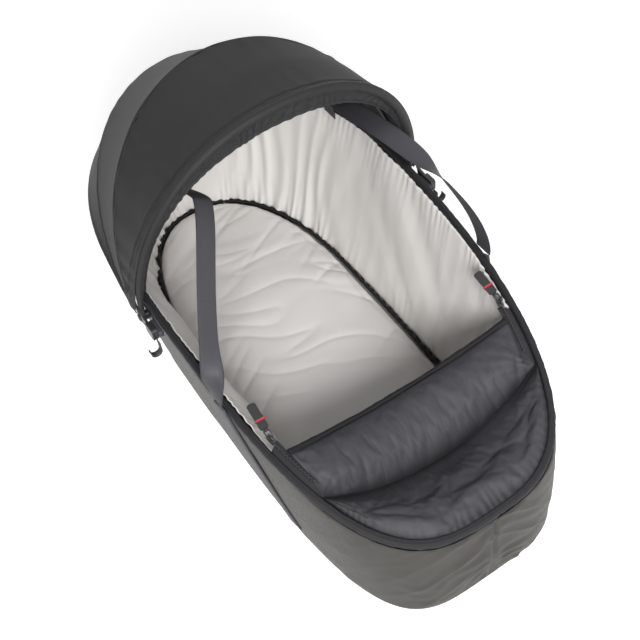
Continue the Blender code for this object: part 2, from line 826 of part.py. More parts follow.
def hem_row(depth):
    """The hood's lower edge: from the pivots along the outside of the rim round the head."""
    first = angle_at_y(PIVOT_Y + CLOTH_START)
    angles = even_angles(rim_plan, first, math.pi, ARC_STEPS // 2)
    row = []
    for angle in angles:
        point = rim_point(angle, depth - HEM_PROUD, HEM_DROP)
        share = smooth((point.y - PIVOT_Y - CLOTH_START) / HEM_RISE_REACH)
        low = Vector((REAR_HALF_WIDTH - depth, point.y, PIVOT_HEIGHT))
        row.append(low.lerp(point, share))
    mirrored = [Vector((-point.x, point.y, point.z)) for point in reversed(row[:-1])]
    return [cover(point) for point in row + mirrored]


def make_canopy():
    front = (FRONT_HALF_WIDTH, FRONT_REACH, FRONT_TILT, FRONT_ROUNDNESS)
    middle = (MIDDLE_HALF_WIDTH, MIDDLE_REACH, MIDDLE_TILT, MIDDLE_ROUNDNESS)
    rear = (REAR_HALF_WIDTH, REAR_REACH, REAR_TILT, REAR_ROUNDNESS)
    seam = GAP / 2
    panel("canopy_front", front, middle, SLEEVE_RADIUS + GAP, -seam)
    panel("canopy_middle", middle, rear, seam, -seam)
    grids = []
    for depth in (0.0, CLOTH_THICKNESS):
        first = cloth_row(*rear, depth, seam)
        grids.append(between_rows(first, hem_row(depth), 0))
    add("canopy_rear", slab(*grids), "hood_cloth", (0, PIVOT_Y, PIVOT_HEIGHT))


def bow_strip(half_width, reach, tilt, roundness, start):
    """A flat bow, its wide side across its own arc."""
    rings = []
    for angle in arc_angles(half_width, reach, roundness, start):
        ring = []
        for depth, shift in ((-1, -1), (1, -1), (1, 1), (-1, 1)):
            ring.append(arc_point(half_width + depth * BOW_THICKNESS / 2,
                                  reach + depth * BOW_THICKNESS / 2, tilt, roundness, angle,
                                  shift * BOW_WIDTH / 2))
        rings.append(ring)
    return skin(rings)


def make_bow(name, half_width, reach, tilt, roundness):
    """A bow that turns on the pivot pins by an eyelet at each end."""
    pivot = Vector((0, PIVOT_Y, PIVOT_HEIGHT))
    strip = bow_strip(half_width, reach, tilt, roundness, BOW_START)
    bow = add(name, strip, "black_plastic", pivot)
    for side_name, side in SIDES:
        centre = Vector((side * half_width, PIVOT_Y, PIVOT_HEIGHT))
        half = BOW_THICKNESS / 2
        eyelet = turned(((-half, EYELET_RADIUS), (half, EYELET_RADIUS)), centre, 18)
        combine(bow, add_tool(f"{name}_eyelet_{side_name}", eyelet), "UNION")
        reach_out = half + CUT_OVERRUN
        hole_radius = PIN_RADIUS + PIN_CLEARANCE
        hole = turned(((-reach_out, hole_radius), (reach_out, hole_radius)), centre, 14)
        combine(bow, add_tool(f"{name}_hole_{side_name}", hole), "DIFFERENCE")


def make_bows():
    inside = CLOTH_THICKNESS + BOW_THICKNESS / 2
    make_bow("bow_front", FRONT_BOW_HALF_WIDTH, FRONT_REACH - SLEEVE_RADIUS, FRONT_TILT,
             FRONT_ROUNDNESS)
    make_bow("bow_middle", MIDDLE_BOW_HALF_WIDTH, MIDDLE_REACH - inside - BOW_TUCK, MIDDLE_TILT,
             MIDDLE_ROUNDNESS)
    rear = bow_strip(REAR_HALF_WIDTH - inside - REAR_BOW_TUCK,
                     REAR_REACH - inside - REAR_BOW_TUCK, REAR_TILT, REAR_ROUNDNESS,
                     REAR_BOW_START)
    add("bow_rear", rear, "black_plastic")


def make_sleeve():
    """The piped channel round the front bow, open at both ends."""
    half_width = FRONT_BOW_HALF_WIDTH
    reach = FRONT_REACH - SLEEVE_RADIUS
    angles = arc_angles(half_width, reach, FRONT_ROUNDNESS, SLEEVE_START, 24)
    loops = []
    for radius, order in ((SLEEVE_RADIUS, 1), (SLEEVE_RADIUS - SLEEVE_WALL, -1)):
        rings = []
        for angle in angles:
            ring = []
            for step in range(8):
                turn = math.pi / 8 + 2 * math.pi * step / 8
                ring.append(arc_point(half_width + radius * math.cos(turn),
                                      reach + radius * math.cos(turn), FRONT_TILT,
                                      FRONT_ROUNDNESS, angle, radius * math.sin(turn)))
            rings.append(ring)
        loops += rings[::order]
    add("hood_sleeve", skin(loops, wrap=True), "hood_cloth", (0, PIVOT_Y, PIVOT_HEIGHT))


def make_ruffle():
    """The gathered elastic edge inside the mouth of the hood."""
    steps = RUFFLE_GATHERS * 4
    reach = FRONT_REACH - SLEEVE_RADIUS * 2 - GAP
    half_width = FRONT_BOW_HALF_WIDTH - SLEEVE_RADIUS - GAP
    angles = arc_angles(half_width, reach, FRONT_ROUNDNESS, SLEEVE_START, steps)
    rings = []
    for place, angle in enumerate(angles):
        width = mix(RUFFLE_SIDE_WIDTH, RUFFLE_WIDTH, math.sin(angle) ** 4)
        wave = RUFFLE_WAVE * math.sin(2 * math.pi * place / 4)
        ring = []
        for depth, lean in ((0.0, 0.3), (0.5, 1.0), (1.0, 0.6)):
            ring.append((depth * width, wave * lean + RUFFLE_THICKNESS / 2))
        for depth, lean in ((1.0, 0.6), (0.5, 1.0), (0.0, 0.3)):
            ring.append((depth * width, wave * lean - RUFFLE_THICKNESS / 2))
        rings.append([arc_point(half_width - depth, reach - depth, FRONT_TILT, FRONT_ROUNDNESS,
                                angle, shift) for depth, shift in ring])
    add("hood_ruffle", skin(rings), "hood_cloth", (0, PIVOT_Y, PIVOT_HEIGHT))


def make_pivots():
    """A plate on each wall carries one pin, and two bows turn on it side by side."""
    inner = wall_x(WIDEST_AT, PIVOT_HEIGHT + PLATE_HEIGHT / 2) + GAP
    first_bow = FRONT_BOW_HALF_WIDTH - BOW_THICKNESS / 2
    last_bow = MIDDLE_BOW_HALF_WIDTH + BOW_THICKNESS / 2
    for side_name, side in SIDES:
        outline = rounded_outline(PLATE_LENGTH, PLATE_HEIGHT, PLATE_HEIGHT / 2 - GAP, 6)
        plate = extruded(moved(outline, PIVOT_Y, PIVOT_HEIGHT), side * inner,
                         side * PLATE_THICKNESS)
        centre = Vector((0, PIVOT_Y, PIVOT_HEIGHT))
        boss_end = first_bow - GAP
        item = add(f"pivot_plate_{side_name}", plate, "black_plastic")
        boss = turned(((side * (inner + PLATE_THICKNESS / 2), BOSS_RADIUS),
                       (side * boss_end, BOSS_RADIUS)), centre, 18)
        combine(item, add_tool(f"pivot_boss_{side_name}", boss), "UNION")
        hole_radius = PIN_RADIUS + GAP
        hole = turned(((side * (inner + PLATE_THICKNESS), hole_radius),
                       (side * (boss_end + CUT_OVERRUN), hole_radius)), centre, 14)
        combine(item, add_tool(f"pivot_bore_{side_name}", hole), "DIFFERENCE")
        start = inner + PLATE_THICKNESS + GAP
        head = last_bow + GAP
        pin = turned(((side * start, PIN_RADIUS), (side * head, PIN_RADIUS),
                      (side * head, PIN_HEAD_RADIUS),
                      (side * (head + PIN_HEAD_THICKNESS / 2), PIN_HEAD_RADIUS),
                      (side * (head + PIN_HEAD_THICKNESS), PIN_HEAD_RADIUS / 2)), centre, 14)
        add(f"pivot_pin_{side_name}", pin, "steel")


# Clips

def clip_outline():
    """The clip in Y and Z: a hollow seat at its head end and two barbed prongs at its foot end."""
    half_neck = CLIP_NECK / 2
    half_shoulder = CLIP_SHOULDER / 2
    seat_radius = (half_shoulder ** 2 + CLIP_SEAT_DEPTH ** 2) / (2 * CLIP_SEAT_DEPTH)
    opening = math.asin(half_shoulder / seat_radius)
    seat = arc(seat_radius - CLIP_SEAT_DEPTH, 0.0, seat_radius, math.pi - opening,
               math.pi + opening, 6)
    reach = CLIP_LENGTH
    end = reach + PRONG_LENGTH
    barb = end - PRONG_LENGTH / 3
    side = [(-reach / 2, -half_neck * 1.25), (-reach, -half_neck),
            (-barb, -half_neck), (-barb, -half_neck - PRONG_BARB),
            (-end, -half_neck + PRONG_BARB), (-end, -half_neck + PRONG_WIDTH),
            (-reach - PRONG_WIDTH, -half_neck + PRONG_WIDTH)]
    other = [(y, -z) for y, z in reversed(side)]
    return seat + side + other


def make_clips():
    seat_y = PIVOT_Y - CLIP_TO_PIVOT
    neck_y = seat_y - CLIP_LENGTH
    socket_y = neck_y - CLIP_PLAY - SOCKET_LENGTH / 2
    wall = wall_x(PIVOT_Y, rim_height(PIVOT_Y))
    anchor_start = wall + GAP
    socket_start = anchor_start + ANCHOR_THICKNESS + GAP
    middle = socket_start + SOCKET_THICKNESS / 2
    for side_name, side in SIDES:
        start = side * (middle - CLIP_THICKNESS / 2)
        outline = moved(clip_outline(), seat_y, CLIP_HEIGHT)
        add(f"clip_body_{side_name}", extruded(outline, start, side * CLIP_THICKNESS),
            "black_plastic")
        anchor = rounded_outline(ANCHOR_LENGTH, ANCHOR_HEIGHT, ANCHOR_HEIGHT / 4)
        add(f"clip_anchor_{side_name}",
            extruded(moved(anchor, socket_y, CLIP_HEIGHT), side * anchor_start,
                     side * ANCHOR_THICKNESS), "webbing")
        origin = Vector((side * middle, socket_y, CLIP_HEIGHT))
        shell = rounded_outline(SOCKET_LENGTH, SOCKET_HEIGHT, SOCKET_HEIGHT / 5)
        socket = add(f"clip_socket_{side_name}",
                     extruded(moved(shell, socket_y, CLIP_HEIGHT), side * socket_start,
                              side * SOCKET_THICKNESS), "black_plastic", origin)
        cavity_height = CLIP_NECK + 2 * PRONG_BARB + 2 * CLIP_PLAY
        cavity_depth = PRONG_LENGTH + 2 * CLIP_PLAY
        mouth = socket_y + SOCKET_LENGTH / 2
        low = mouth - cavity_depth
        high = mouth + CUT_OVERRUN
        half = cavity_height / 2
        cavity = [(low, CLIP_HEIGHT - half), (high, CLIP_HEIGHT - half),
                  (high, CLIP_HEIGHT + half), (low, CLIP_HEIGHT + half)]
        cut_start = middle - CLIP_THICKNESS / 2 - CLIP_PLAY
        cutter = extruded(cavity, side * cut_start, side * (CLIP_THICKNESS + 2 * CLIP_PLAY))
        combine(socket, add_tool(f"socket_cavity_{side_name}", cutter), "DIFFERENCE")
        make_tail(side_name, side, middle, socket_y - SOCKET_LENGTH / 2, origin)


def make_tail(side_name, side, x, start_y, origin):
    """The loose webbing end hangs from the socket and curls up outwards."""
    radius = TAIL_CURL_RADIUS
    top = CLIP_HEIGHT - SOCKET_HEIGHT / 2 + TAIL_WIDTH / 2
    centres = [Vector((side * x, start_y - GAP - TAIL_THICKNESS / 2, top))]
    bend_y = start_y - GAP - TAIL_THICKNESS / 2
    for step in range(1, 4):
        centres.append(Vector((side * x, bend_y, top - TAIL_DROP * step / 3)))
    for step in range(1, 9):
        angle = math.radians(200) * step / 8
        centres.append(Vector((side * (x + radius * (1 - math.cos(angle))), bend_y,
                               top - TAIL_DROP - radius * math.sin(angle))))
    widths = [Vector((0, 1, 0))] * len(centres)
    bm = ribbon(centres, widths, TAIL_WIDTH, TAIL_THICKNESS)
    bmesh.ops.translate(bm, verts=bm.verts, vec=(0, -TAIL_WIDTH / 2, 0))
    add(f"clip_tail_{side_name}", bm, "webbing", origin)


# Handles

def handle_ends(side):
    """Where a handle meets the rim: outside it at the foot end, inside it under the hood."""
    foot_height = rim_height(HANDLE_FOOT_Y)
    foot_x = wall_x(HANDLE_FOOT_Y, foot_height) + STRIP_PROUD + WEBBING_THICKNESS / 2
    head_height = rim_height(HANDLE_HEAD_Y)
    head_inset = BINDING_WIDTH + GAP + WEBBING_THICKNESS / 2
    head_x = wall_x(HANDLE_HEAD_Y + WEBBING_WIDTH / 2, head_height, head_inset)
    foot = Vector((side * foot_x, HANDLE_FOOT_Y, foot_height + GAP))
    head = Vector((side * head_x, HANDLE_HEAD_Y, head_height + GAP))
    return foot, head


def handle_route(side, rise, lean, leg_lean, skew, roundness):
    foot, head = handle_ends(side)
    stub = Vector((0, 0, HANDLE_STUB))
    route = [foot]
    for step in range(HANDLE_STEPS + 1):
        angle = math.pi * step / HANDLE_STEPS
        along = 0.5 - 0.5 * power(math.cos(angle), 2.0 / roundness)
        up = abs(math.sin(angle)) ** (2.0 / roundness)
        tilt = mix(leg_lean, lean, up) + skew * (2 * along - 1)
        base = foot.lerp(head, along) + stub
        route.append(base + Vector((-side * rise * up * math.sin(tilt), 0,
                                    rise * up * math.cos(tilt))))
    return route + [head]


def handle_widths(side, lean, twist):
    """The webbing lies flat on the wall at its ends and turns square to its arch at the top."""
    flat = Vector((0, 1, 0))
    square = Vector((side * math.cos(lean), 0, math.sin(lean)))
    widths = [flat]
    for step in range(HANDLE_STEPS + 1):
        share = step / HANDLE_STEPS
        first, last = twist if share < 0.5 else HEAD_TWIST_SHARES
        turn = smooth((min(share, 1 - share) - first) / (last - first))
        direction = -1 if share > 0.5 else 1
        widths.append((flat * direction).lerp(square, turn))
    return widths + [-flat]


def make_handles():
    shapes = {"left": (LEFT_RISE, LEFT_LEAN, LEFT_LEG_LEAN, LEFT_SKEW, LEFT_ROUNDNESS),
              "right": (RIGHT_RISE, RIGHT_LEAN, RIGHT_LEG_LEAN, RIGHT_SKEW, RIGHT_ROUNDNESS)}
    twists = {"left": LEFT_TWIST_SHARES, "right": RIGHT_TWIST_SHARES}
    for side_name, side in SIDES:
        shape = shapes[side_name]
        foot, head = handle_ends(side)
        widths = handle_widths(side, shape[1], twists[side_name])
        bm = ribbon(handle_route(side, *shape), widths, WEBBING_WIDTH, WEBBING_THICKNESS)
        add(f"handle_{side_name}", bm, "webbing", foot.lerp(head, 0.5))
        make_strip(f"handle_strip_{side_name}", side)
        make_tab(f"handle_tab_{side_name}", head)


def make_strip(name, side):
    """The handle's webbing goes on down the outside of the wall, sewn on."""
    top = rim_height(HANDLE_FOOT_Y) - STRIP_DROP
    centres = []
    widths = []
    half = WEBBING_WIDTH / 2
    for step in range(9):
        share = step / 8
        y = HANDLE_FOOT_Y - STRIP_LOW_SHIFT * share
        height = mix(top, STRIP_LOW_HEIGHT, share)
        x = wall_x(y, height) + STRIP_PROUD + WEBBING_THICKNESS / 2
        centres.append(Vector((side * x, y, height)))
        turn = wall_x(y + half, height) - wall_x(y - half, height)
        widths.append(Vector((side * turn, WEBBING_WIDTH, 0)).normalized())
    add(name, ribbon(centres, widths, WEBBING_WIDTH, WEBBING_THICKNESS), "webbing")


def make_tab(name, top):
    """The head end of the webbing is sewn on just under the binding."""
    centres = []
    for step in range(3):
        centres.append(top - Vector((0, 0, GAP * 2 + TAB_DROP * step / 2)))
    widths = [Vector((0, 1, 0))] * len(centres)
    add(name, ribbon(centres, widths, WEBBING_WIDTH, TAB_THICKNESS), "webbing")


# Apron

def front_inset():
    """The front panel's ends lie beside the teeth, clear of the sliders."""
    return teeth_start() + TEETH_WIDTH + GAP + SLIDER_ROOM


def foot_inset():
    """The foot panel is sewn to the binding."""
    return BINDING_WIDTH + GAP


def edge_drop():
    return TEETH_DROP + TEETH_HEIGHT / 2


def apron_edge(angle):
    """The sewn edge of the foot panel."""
    return rim_point(angle, foot_inset(), edge_drop())


def side_x(y, inset):
    """Half width inside the rim at a given y."""
    ratio = (WIDEST_AT - y) / (FOOT_REACH - inset + WIDEST_AT)
    half_width = RIM_HALF_WIDTH - inset
    return half_width * (1.0 - ratio ** FOOT_ROUNDNESS) ** (1.0 / FOOT_ROUNDNESS)


def edge_height(y):
    return rim_height(y) - edge_drop()


def pad(across, along):
    """Thickness of a stuffed panel, full in the middle and drawn in at its edges."""
    return (1 - across ** 4) ** 0.6 * (1 - (2 * along - 1) ** 2) ** 0.65


def padded_panel(name, centre_at, columns, rows, thickness, origin):
    """A stuffed panel about a middle surface: centre_at(across, along), across from -1 to 1."""
    top = []
    bottom = []
    for row in range(rows + 1):
        along = row / rows
        upper = []
        lower = []
        for across in columns:
            point = centre_at(across, along)
            half = APRON_EDGE + thickness * pad(across, along)
            upper.append(point + Vector((0, 0, half)))
            lower.append(point - Vector((0, 0, APRON_EDGE + (half - APRON_EDGE) * 0.8)))
        top.append(upper)
        bottom.append(lower)
    add(name, slab(top, bottom), "apron_cloth", origin)


def crease_height(across):
    """The crease hangs lower than the edges, and is drawn down by its seam."""
    dip = APRON_SAG * (1 - across ** 2) + CREASE_DIP * (1 - across ** 6)
    return edge_height(CREASE_Y) - dip


def crease_point(across, shift):
    y = CREASE_Y + shift
    return Vector((side_x(y, foot_inset()) * across, y, crease_height(across)))


def front_centre(across, along):
    """The front panel, from its hem to the crease; the hem bows a little to the head."""
    hem = HEM_SIDE_Y + HEM_BOW * (1 - across ** 2) - HEM_ROLL_RADIUS * 2 - GAP
    y_side = mix(HEM_SIDE_Y - HEM_ROLL_RADIUS * 2 - GAP, CREASE_Y + CREASE_GAP / 2, along)
    y = mix(hem, CREASE_Y + CREASE_GAP / 2, along)
    half = side_x(y_side, front_inset())
    share = across * mix(1.0, half / side_x(y_side, foot_inset()), along)
    hem_height = edge_height(y_side) - APRON_SAG * (1 - share ** 2)
    height = hem_height - CREASE_DIP * (1 - share ** 6) * along ** 3
    return Vector((half * across, y, height))


def make_apron():
    columns = [2 * step / APRON_COLUMNS - 1 for step in range(APRON_COLUMNS + 1)]
    crease = Vector((0, CREASE_Y, edge_height(CREASE_Y)))
    padded_panel("apron_front", front_centre, columns, APRON_ROWS, FRONT_PAD, crease)
    route = []
    for across in columns:
        shift = HEM_ROLL_RADIUS + GAP
        point = front_centre(across, 0.0)
        route.append(point + Vector((0, shift, 0)))
    add("apron_hem", wire(route, HEM_ROLL_RADIUS, 8), "apron_cloth", crease)
    make_foot_panel()


def make_foot_panel():
    start = CREASE_Y - CREASE_GAP / 2
    ends = run_angles(start - APRON_CORNER, apron_edge)
    places = [2 * step / (len(ends) - 1) - 1 for step in range(len(ends))]
    angle_of = dict(zip(places, ends))
    foot = apron_edge(0.0)

    def foot_centre(across, along):
        near = crease_point(across, -CREASE_GAP / 2)
        far = apron_edge(angle_of[across])
        return near.lerp(far, along)

    padded_panel("apron_foot", foot_centre, places, APRON_ROWS - 1, FOOT_PAD, foot)


# Zip sliders and pull tabs

def zip_frame(side):
    """The end of the teeth, the way along them towards the foot, and the way inwards."""
    inset = teeth_start() + TEETH_WIDTH / 2
    drop = TEETH_DROP + TEETH_HEIGHT / 2
    angle = angle_at_y(ZIP_END_Y, side)
    start = rim_point(angle, inset, drop)
    further = rim_point(angle_at_y(ZIP_END_Y - SLIDER_TRAVEL, side), inset, drop)
    along = (further - start).normalized()
    up = Vector((0, 0, 1))
    inward = up.cross(along) * -side
    inward.normalize()
    square = inward.cross(along) * side
    return start, along, inward, square.normalized()


def oriented(points, start, along, inward, square):
    return [start + along * a + inward * b + square * c for a, b, c in points]


def make_slider(side_name, side):
    """A slider: two plates and a back wall round the teeth, open towards the tape."""
    start, along, inward, square = zip_frame(side)
    half_width = TEETH_WIDTH / 2 + SLIDER_PLAY
    half_height = TEETH_HEIGHT / 2 + SLIDER_PLAY
    wall = SLIDER_WALL
    section = [(half_width + wall, half_height + wall), (-half_width, half_height + wall),
               (-half_width, half_height), (half_width, half_height),
               (half_width, -half_height), (-half_width, -half_height),
               (-half_width, -half_height - wall), (half_width + wall, -half_height - wall)]
    rings = []
    for along_share, squeeze in ((-1.0, 0.8), (-0.7, 1.0), (0.0, 1.0)):
        ring = []
        for b, c in section:
            outer = abs(c) > half_height
            ring.append((SLIDER_LENGTH * along_share, b * (squeeze if outer else 1.0), c))
        rings.append(oriented(ring, start, along, inward, square))
    hinge = slider_hinge(side)
    body = skin(rings)
    item = add(f"zip_slider_{side_name}", body, "steel", hinge)
    foot = start + square * (half_height + wall)
    arch = []
    for step in range(9):
        angle = math.pi * step / 8
        arch.append(foot - along * (SLIDER_LENGTH * 0.5)
                    + along * (BAIL_RADIUS * 1.4 * math.cos(angle))
                    + square * (BAIL_RADIUS * 1.3 * math.sin(angle) - wall / 2))
    combine(item, add_tool(f"slider_bail_{side_name}", wire(arch, BAIL_WIRE)), "UNION")


def slider_hinge(side):
    start, along, inward, square = zip_frame(side)
    height = TEETH_HEIGHT / 2 + SLIDER_PLAY + SLIDER_WALL + BAIL_RADIUS * 0.5
    return start - along * (SLIDER_LENGTH * 0.5) + square * height


def pull_place(side):
    """A function that sets points down by the slider's hinge: out along the pull, across, up."""
    along, inward, square = zip_frame(side)[1:]
    hinge = slider_hinge(side)
    way = inward * math.sin(PULL_SWING) - along * math.cos(PULL_SWING)
    beside = inward * math.cos(PULL_SWING) + along * math.sin(PULL_SWING)

    def place(out, across, up):
        return hinge + way * out + beside * across + square * up

    return hinge, place


def block(place, outline, low, high):
    """A plate with an outline in its own plane."""
    return skin([[place(out, across, level) for out, across in outline]
                 for level in (low, high)])


def barrel(place, radius, half_length, steps):
    """A round bar across the pull, about the end of the link."""
    rings = []
    for across in (-half_length, half_length):
        rings.append([place(LINK_LENGTH + radius * math.cos(2 * math.pi * step / steps), across,
                            radius * math.sin(2 * math.pi * step / steps))
                      for step in range(steps)])
    return skin(rings)


def make_pull(side_name, side):
    """The link hangs in the slider's bail, and the moulded tab turns on the link's far end."""
    hinge, place = pull_place(side)
    corners = rounded_outline(LINK_LENGTH, LINK_WIDTH, LINK_CORNER_RADIUS)
    route = [place(out + LINK_LENGTH / 2, across, 0.0) for out, across in corners]
    add(f"zip_link_{side_name}", wire(route, LINK_WIRE, 6, True), "steel", hinge)
    body_start = LINK_LENGTH + LINK_WIRE + BARREL_PLAY
    middle = body_start + PULL_LENGTH / 2
    outline = moved(rounded_outline(PULL_LENGTH, PULL_WIDTH, PULL_CORNER_RADIUS), middle, 0.0)
    half = PULL_THICKNESS / 2
    pull = add(f"zip_pull_{side_name}", block(place, outline, -half, half), "black_plastic",
               place(LINK_LENGTH, 0.0, 0.0))
    neck_half = LINK_WIDTH / 2 - LINK_WIRE - BARREL_PLAY
    neck = [(LINK_LENGTH, -neck_half), (body_start + PULL_CORNER_RADIUS, -neck_half),
            (body_start + PULL_CORNER_RADIUS, neck_half), (LINK_LENGTH, neck_half)]
    neck_tool = add_tool(f"pull_neck_{side_name}", block(place, neck, -half * 0.9, half * 0.9))
    combine(pull, neck_tool, "UNION")
    outer = add_tool(f"pull_barrel_{side_name}", barrel(place, BARREL_RADIUS, neck_half, 14))
    combine(pull, outer, "UNION")
    bore = barrel(place, LINK_WIRE + BARREL_PLAY, neck_half + CUT_OVERRUN, 10)
    combine(pull, add_tool(f"pull_bore_{side_name}", bore), "DIFFERENCE")
    make_stripe(side_name, place, body_start + PULL_LENGTH * STRIPE_SHARE)


def make_stripe(side_name, place, start):
    """A thin band round the tab."""
    rings = []
    for grow in (GAP, GAP + STRIPE_THICKNESS):
        half_width = PULL_WIDTH / 2 + grow
        half_height = PULL_THICKNESS / 2 + grow
        corners = ((-half_width, -half_height), (half_width, -half_height),
                   (half_width, half_height), (-half_width, half_height))
        pair = [[place(start + shift, across, up) for across, up in corners]
                for shift in (0.0, STRIPE_WIDTH)]
        rings += pair if grow > GAP else reversed(pair)
    add(f"pull_stripe_{side_name}", skin(rings, wrap=True), "red_mark",
        place(LINK_LENGTH, 0.0, 0.0))


def make_zips():
    for side_name, side in SIDES:
        make_slider(side_name, side)
        make_pull(side_name, side)


def main():
    clear_scene()
    make_shell()
    make_board()
    make_stiffeners()
    make_lining()
    make_binding()
    make_zip()
    make_mattress()
    make_canopy()
    make_bows()
    make_sleeve()
    make_ruffle()
    make_pivots()
    make_clips()
    make_handles()
    make_apron()
    make_zips()


main()
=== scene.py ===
import math

import bmesh
import bpy
import numpy as np
from mathutils import Matrix, Vector, noise


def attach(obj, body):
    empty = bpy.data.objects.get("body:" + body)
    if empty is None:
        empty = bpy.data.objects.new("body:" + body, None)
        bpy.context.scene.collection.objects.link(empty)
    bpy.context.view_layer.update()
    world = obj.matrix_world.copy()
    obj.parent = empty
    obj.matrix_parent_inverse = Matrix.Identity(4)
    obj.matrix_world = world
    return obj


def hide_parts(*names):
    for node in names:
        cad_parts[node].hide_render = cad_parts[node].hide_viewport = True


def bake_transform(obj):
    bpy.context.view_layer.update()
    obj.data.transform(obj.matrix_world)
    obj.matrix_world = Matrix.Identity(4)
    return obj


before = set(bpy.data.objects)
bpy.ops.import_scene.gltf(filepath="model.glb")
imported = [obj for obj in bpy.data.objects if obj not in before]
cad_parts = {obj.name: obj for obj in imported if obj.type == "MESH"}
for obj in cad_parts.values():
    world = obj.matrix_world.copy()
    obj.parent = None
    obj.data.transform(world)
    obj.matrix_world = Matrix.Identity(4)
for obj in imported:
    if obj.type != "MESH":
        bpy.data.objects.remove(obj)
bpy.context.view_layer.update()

bl_info = {
    "name": "Carrycot",
    "version": (1, 0, 0),
    "blender": (4, 5, 0),
    "location": "View3D > Sidebar > Carrycot",
    "description": "Cloth, padding, webbing and zip of a soft carrycot with a folding hood",
    "category": "Add Mesh",
}

# Clearance between pieces, and how close two points merge
GAP = 0.0003
MERGE_DISTANCE = 1e-6

# How finely curves are followed
CURVE_STEPS = 2400
TRACK_STEPS = 2000
HALVINGS = 60
RIM_STEP = 0.004
TOOTH_STEP = 0.002
LINE_STEP = 0.01

# Plan and height of the rim
RIM_HALF_WIDTH = 0.1886
HEAD_REACH = 0.372
FOOT_REACH = 0.3725
WIDEST_AT = 0.083
HEAD_ROUNDNESS = 2.0
FOOT_ROUNDNESS = 3.02
RIM_HEIGHTS = ((-FOOT_REACH, 0.145), (WIDEST_AT, 0.2434), (HEAD_REACH, 0.226))

# Base of the tub
BASE_HALF_WIDTH = 0.1555
BASE_HEAD_REACH = 0.352
BASE_FOOT_REACH = 0.380
BASE_FOOT_ROUNDNESS = 4.2
SIDE_BULGE = 0.001
END_BULGE = 0.002
BASE_CORNER = 0.012
BASE_SHARE = 0.14
CORNER_SHARE = 0.08
UNDER_BINDING_SHARE = 0.8
SHELL_TOP_INSET = 0.0004
SHELL_THICKNESS = 0.0016
SHELL_GIRTH = 0.30

# Folds of the tub's cloth around the seam of the foot wall
SEAM_GROOVE = 0.0012
SEAM_FOLD = 0.0008
SEAM_FOLD_AWAY = 0.0040
SEAM_STITCH_AWAY = 0.0042
PUCKER_DEPTH = 0.0014
PUCKER_RISE = 0.026
PUCKER_RUN = 0.060
DRAG_DEPTH = 0.0006
DRAG_MIDDLE_DEPTH = 0.0012
DRAG_RISE = 0.045
DRAG_RUN = 0.070
RIM_PULL = 0.0010
WELT_DEPTH = 0.0010
WELT_HEIGHT = 0.0055
DEEPEST_HOLLOW = 0.0006

# Lining
LINER_TOP_INSET = 0.0060
LINER_LOW_HALF_WIDTH = 0.1345
LINER_LOW_HEAD = 0.3400
LINER_LOW_FOOT = 0.3440
LINER_LOW_HEIGHT = 0.030
LINER_TUCK = 0.006
LINER_UNDER_BINDING_SHARE = 0.75
LINER_CLEARANCE = 0.0008
LINER_THICKNESS = 0.0010
LINER_GIRTH = 0.22
LINER_BULGE = 0.015
PLEAT_PITCH = 0.043
LOW_GATHER_PITCH = 0.017
RIM_GATHER_PITCH = 0.0115

# Mattress and its black edge, and the plan that the lining's foot shares with them
LOW_HEAD_ROUNDNESS = 2.35
LOW_FOOT_ROUNDNESS = 3.6
MATTRESS_HALF_WIDTH = 0.1290
MATTRESS_HEAD = 0.3345
MATTRESS_FOOT = 0.3385
MATTRESS_LOW = 0.0097
MATTRESS_EDGE = 0.0260
MATTRESS_CROWN = 0.0150
MATTRESS_SIDE_BULGE = 0.0012
MATTRESS_GIRTH = 0.6
UNDERSIDE_SHARE = 0.3
SIDE_SHARE = 0.12
PIPING_RADIUS = 0.0026
PIPING_RAISE = 0.0012
PIPING_SWAY = 0.0010
PIPING_PITCH = 0.0135
PIPING_GIRTH = 0.016

# Rim binding and zip
BINDING_WIDTH = 0.0082
BINDING_HEIGHT = 0.0100
BINDING_STITCHES = (0.0085, 0.0225)
TAPE_WIDTH = 0.0065
TAPE_THICKNESS = 0.0012
TEETH_WIDTH = 0.0033
TEETH_DROP = 0.0020
TEETH_HEIGHT = 0.0030
TOOTH_EDGE = 0.0003
TOOTH_SHARES = (0.72, 0.64, 0.8)
TOOTH_STAGGER_SHARE = 0.16
TAPE_ROUNDNESS = 0.35
ZIP_END_Y = -0.200
ZIP_FOOT_Y = -0.258
TAPE_FOOT_Y = -0.272

# Hood arcs: half width, reach, tilt and roundness
PIVOT_Y = 0.0438
PIVOT_HEIGHT = 0.2096
FRONT_ARC = (0.2007, 0.2494, math.radians(-8.6), 2.156)
MIDDLE_ARC = (0.2010, 0.2518, math.radians(27.7), 2.06)
REAR_ARC = (0.1980, 0.2874, math.radians(65.6), 2.02)
FRONT_BOW_HALF_WIDTH = 0.1940
CLOTH_START = 0.014
PIVOT_COVER = 0.0034
PIVOT_COVER_REACH = 0.060
HEM_PROUD = 0.0085
HEM_DROP = 0.0110
HEM_RISE_REACH = 0.070
SLEEVE_RADIUS = 0.0055
SLEEVE_START = 0.016
RUFFLE_START = 0.046
RUFFLE_WIDTH = 0.0230
RUFFLE_SIDE_WIDTH = 0.0045
RUFFLE_ROLL = 0.0022
RUFFLE_PITCH = 0.013
HOOD_THICKNESS = 0.0011
RUFFLE_THICKNESS = 0.0013
FRONT_PANEL_DEPTH = 0.15
SECOND_PANEL_DEPTH = 0.155
REAR_PANEL_DEPTH = 0.105
SECOND_PANEL_SHARE = 0.52
HOOD_SAG = 0.0032
FRONT_STITCH = 0.0125
HEM_STITCH = 0.009
SLEEVE_STITCH = 0.0105
RUFFLE_STITCH = 0.0135
BACK_GIRTH = 0.26
RUFFLE_GIRTH = 0.017

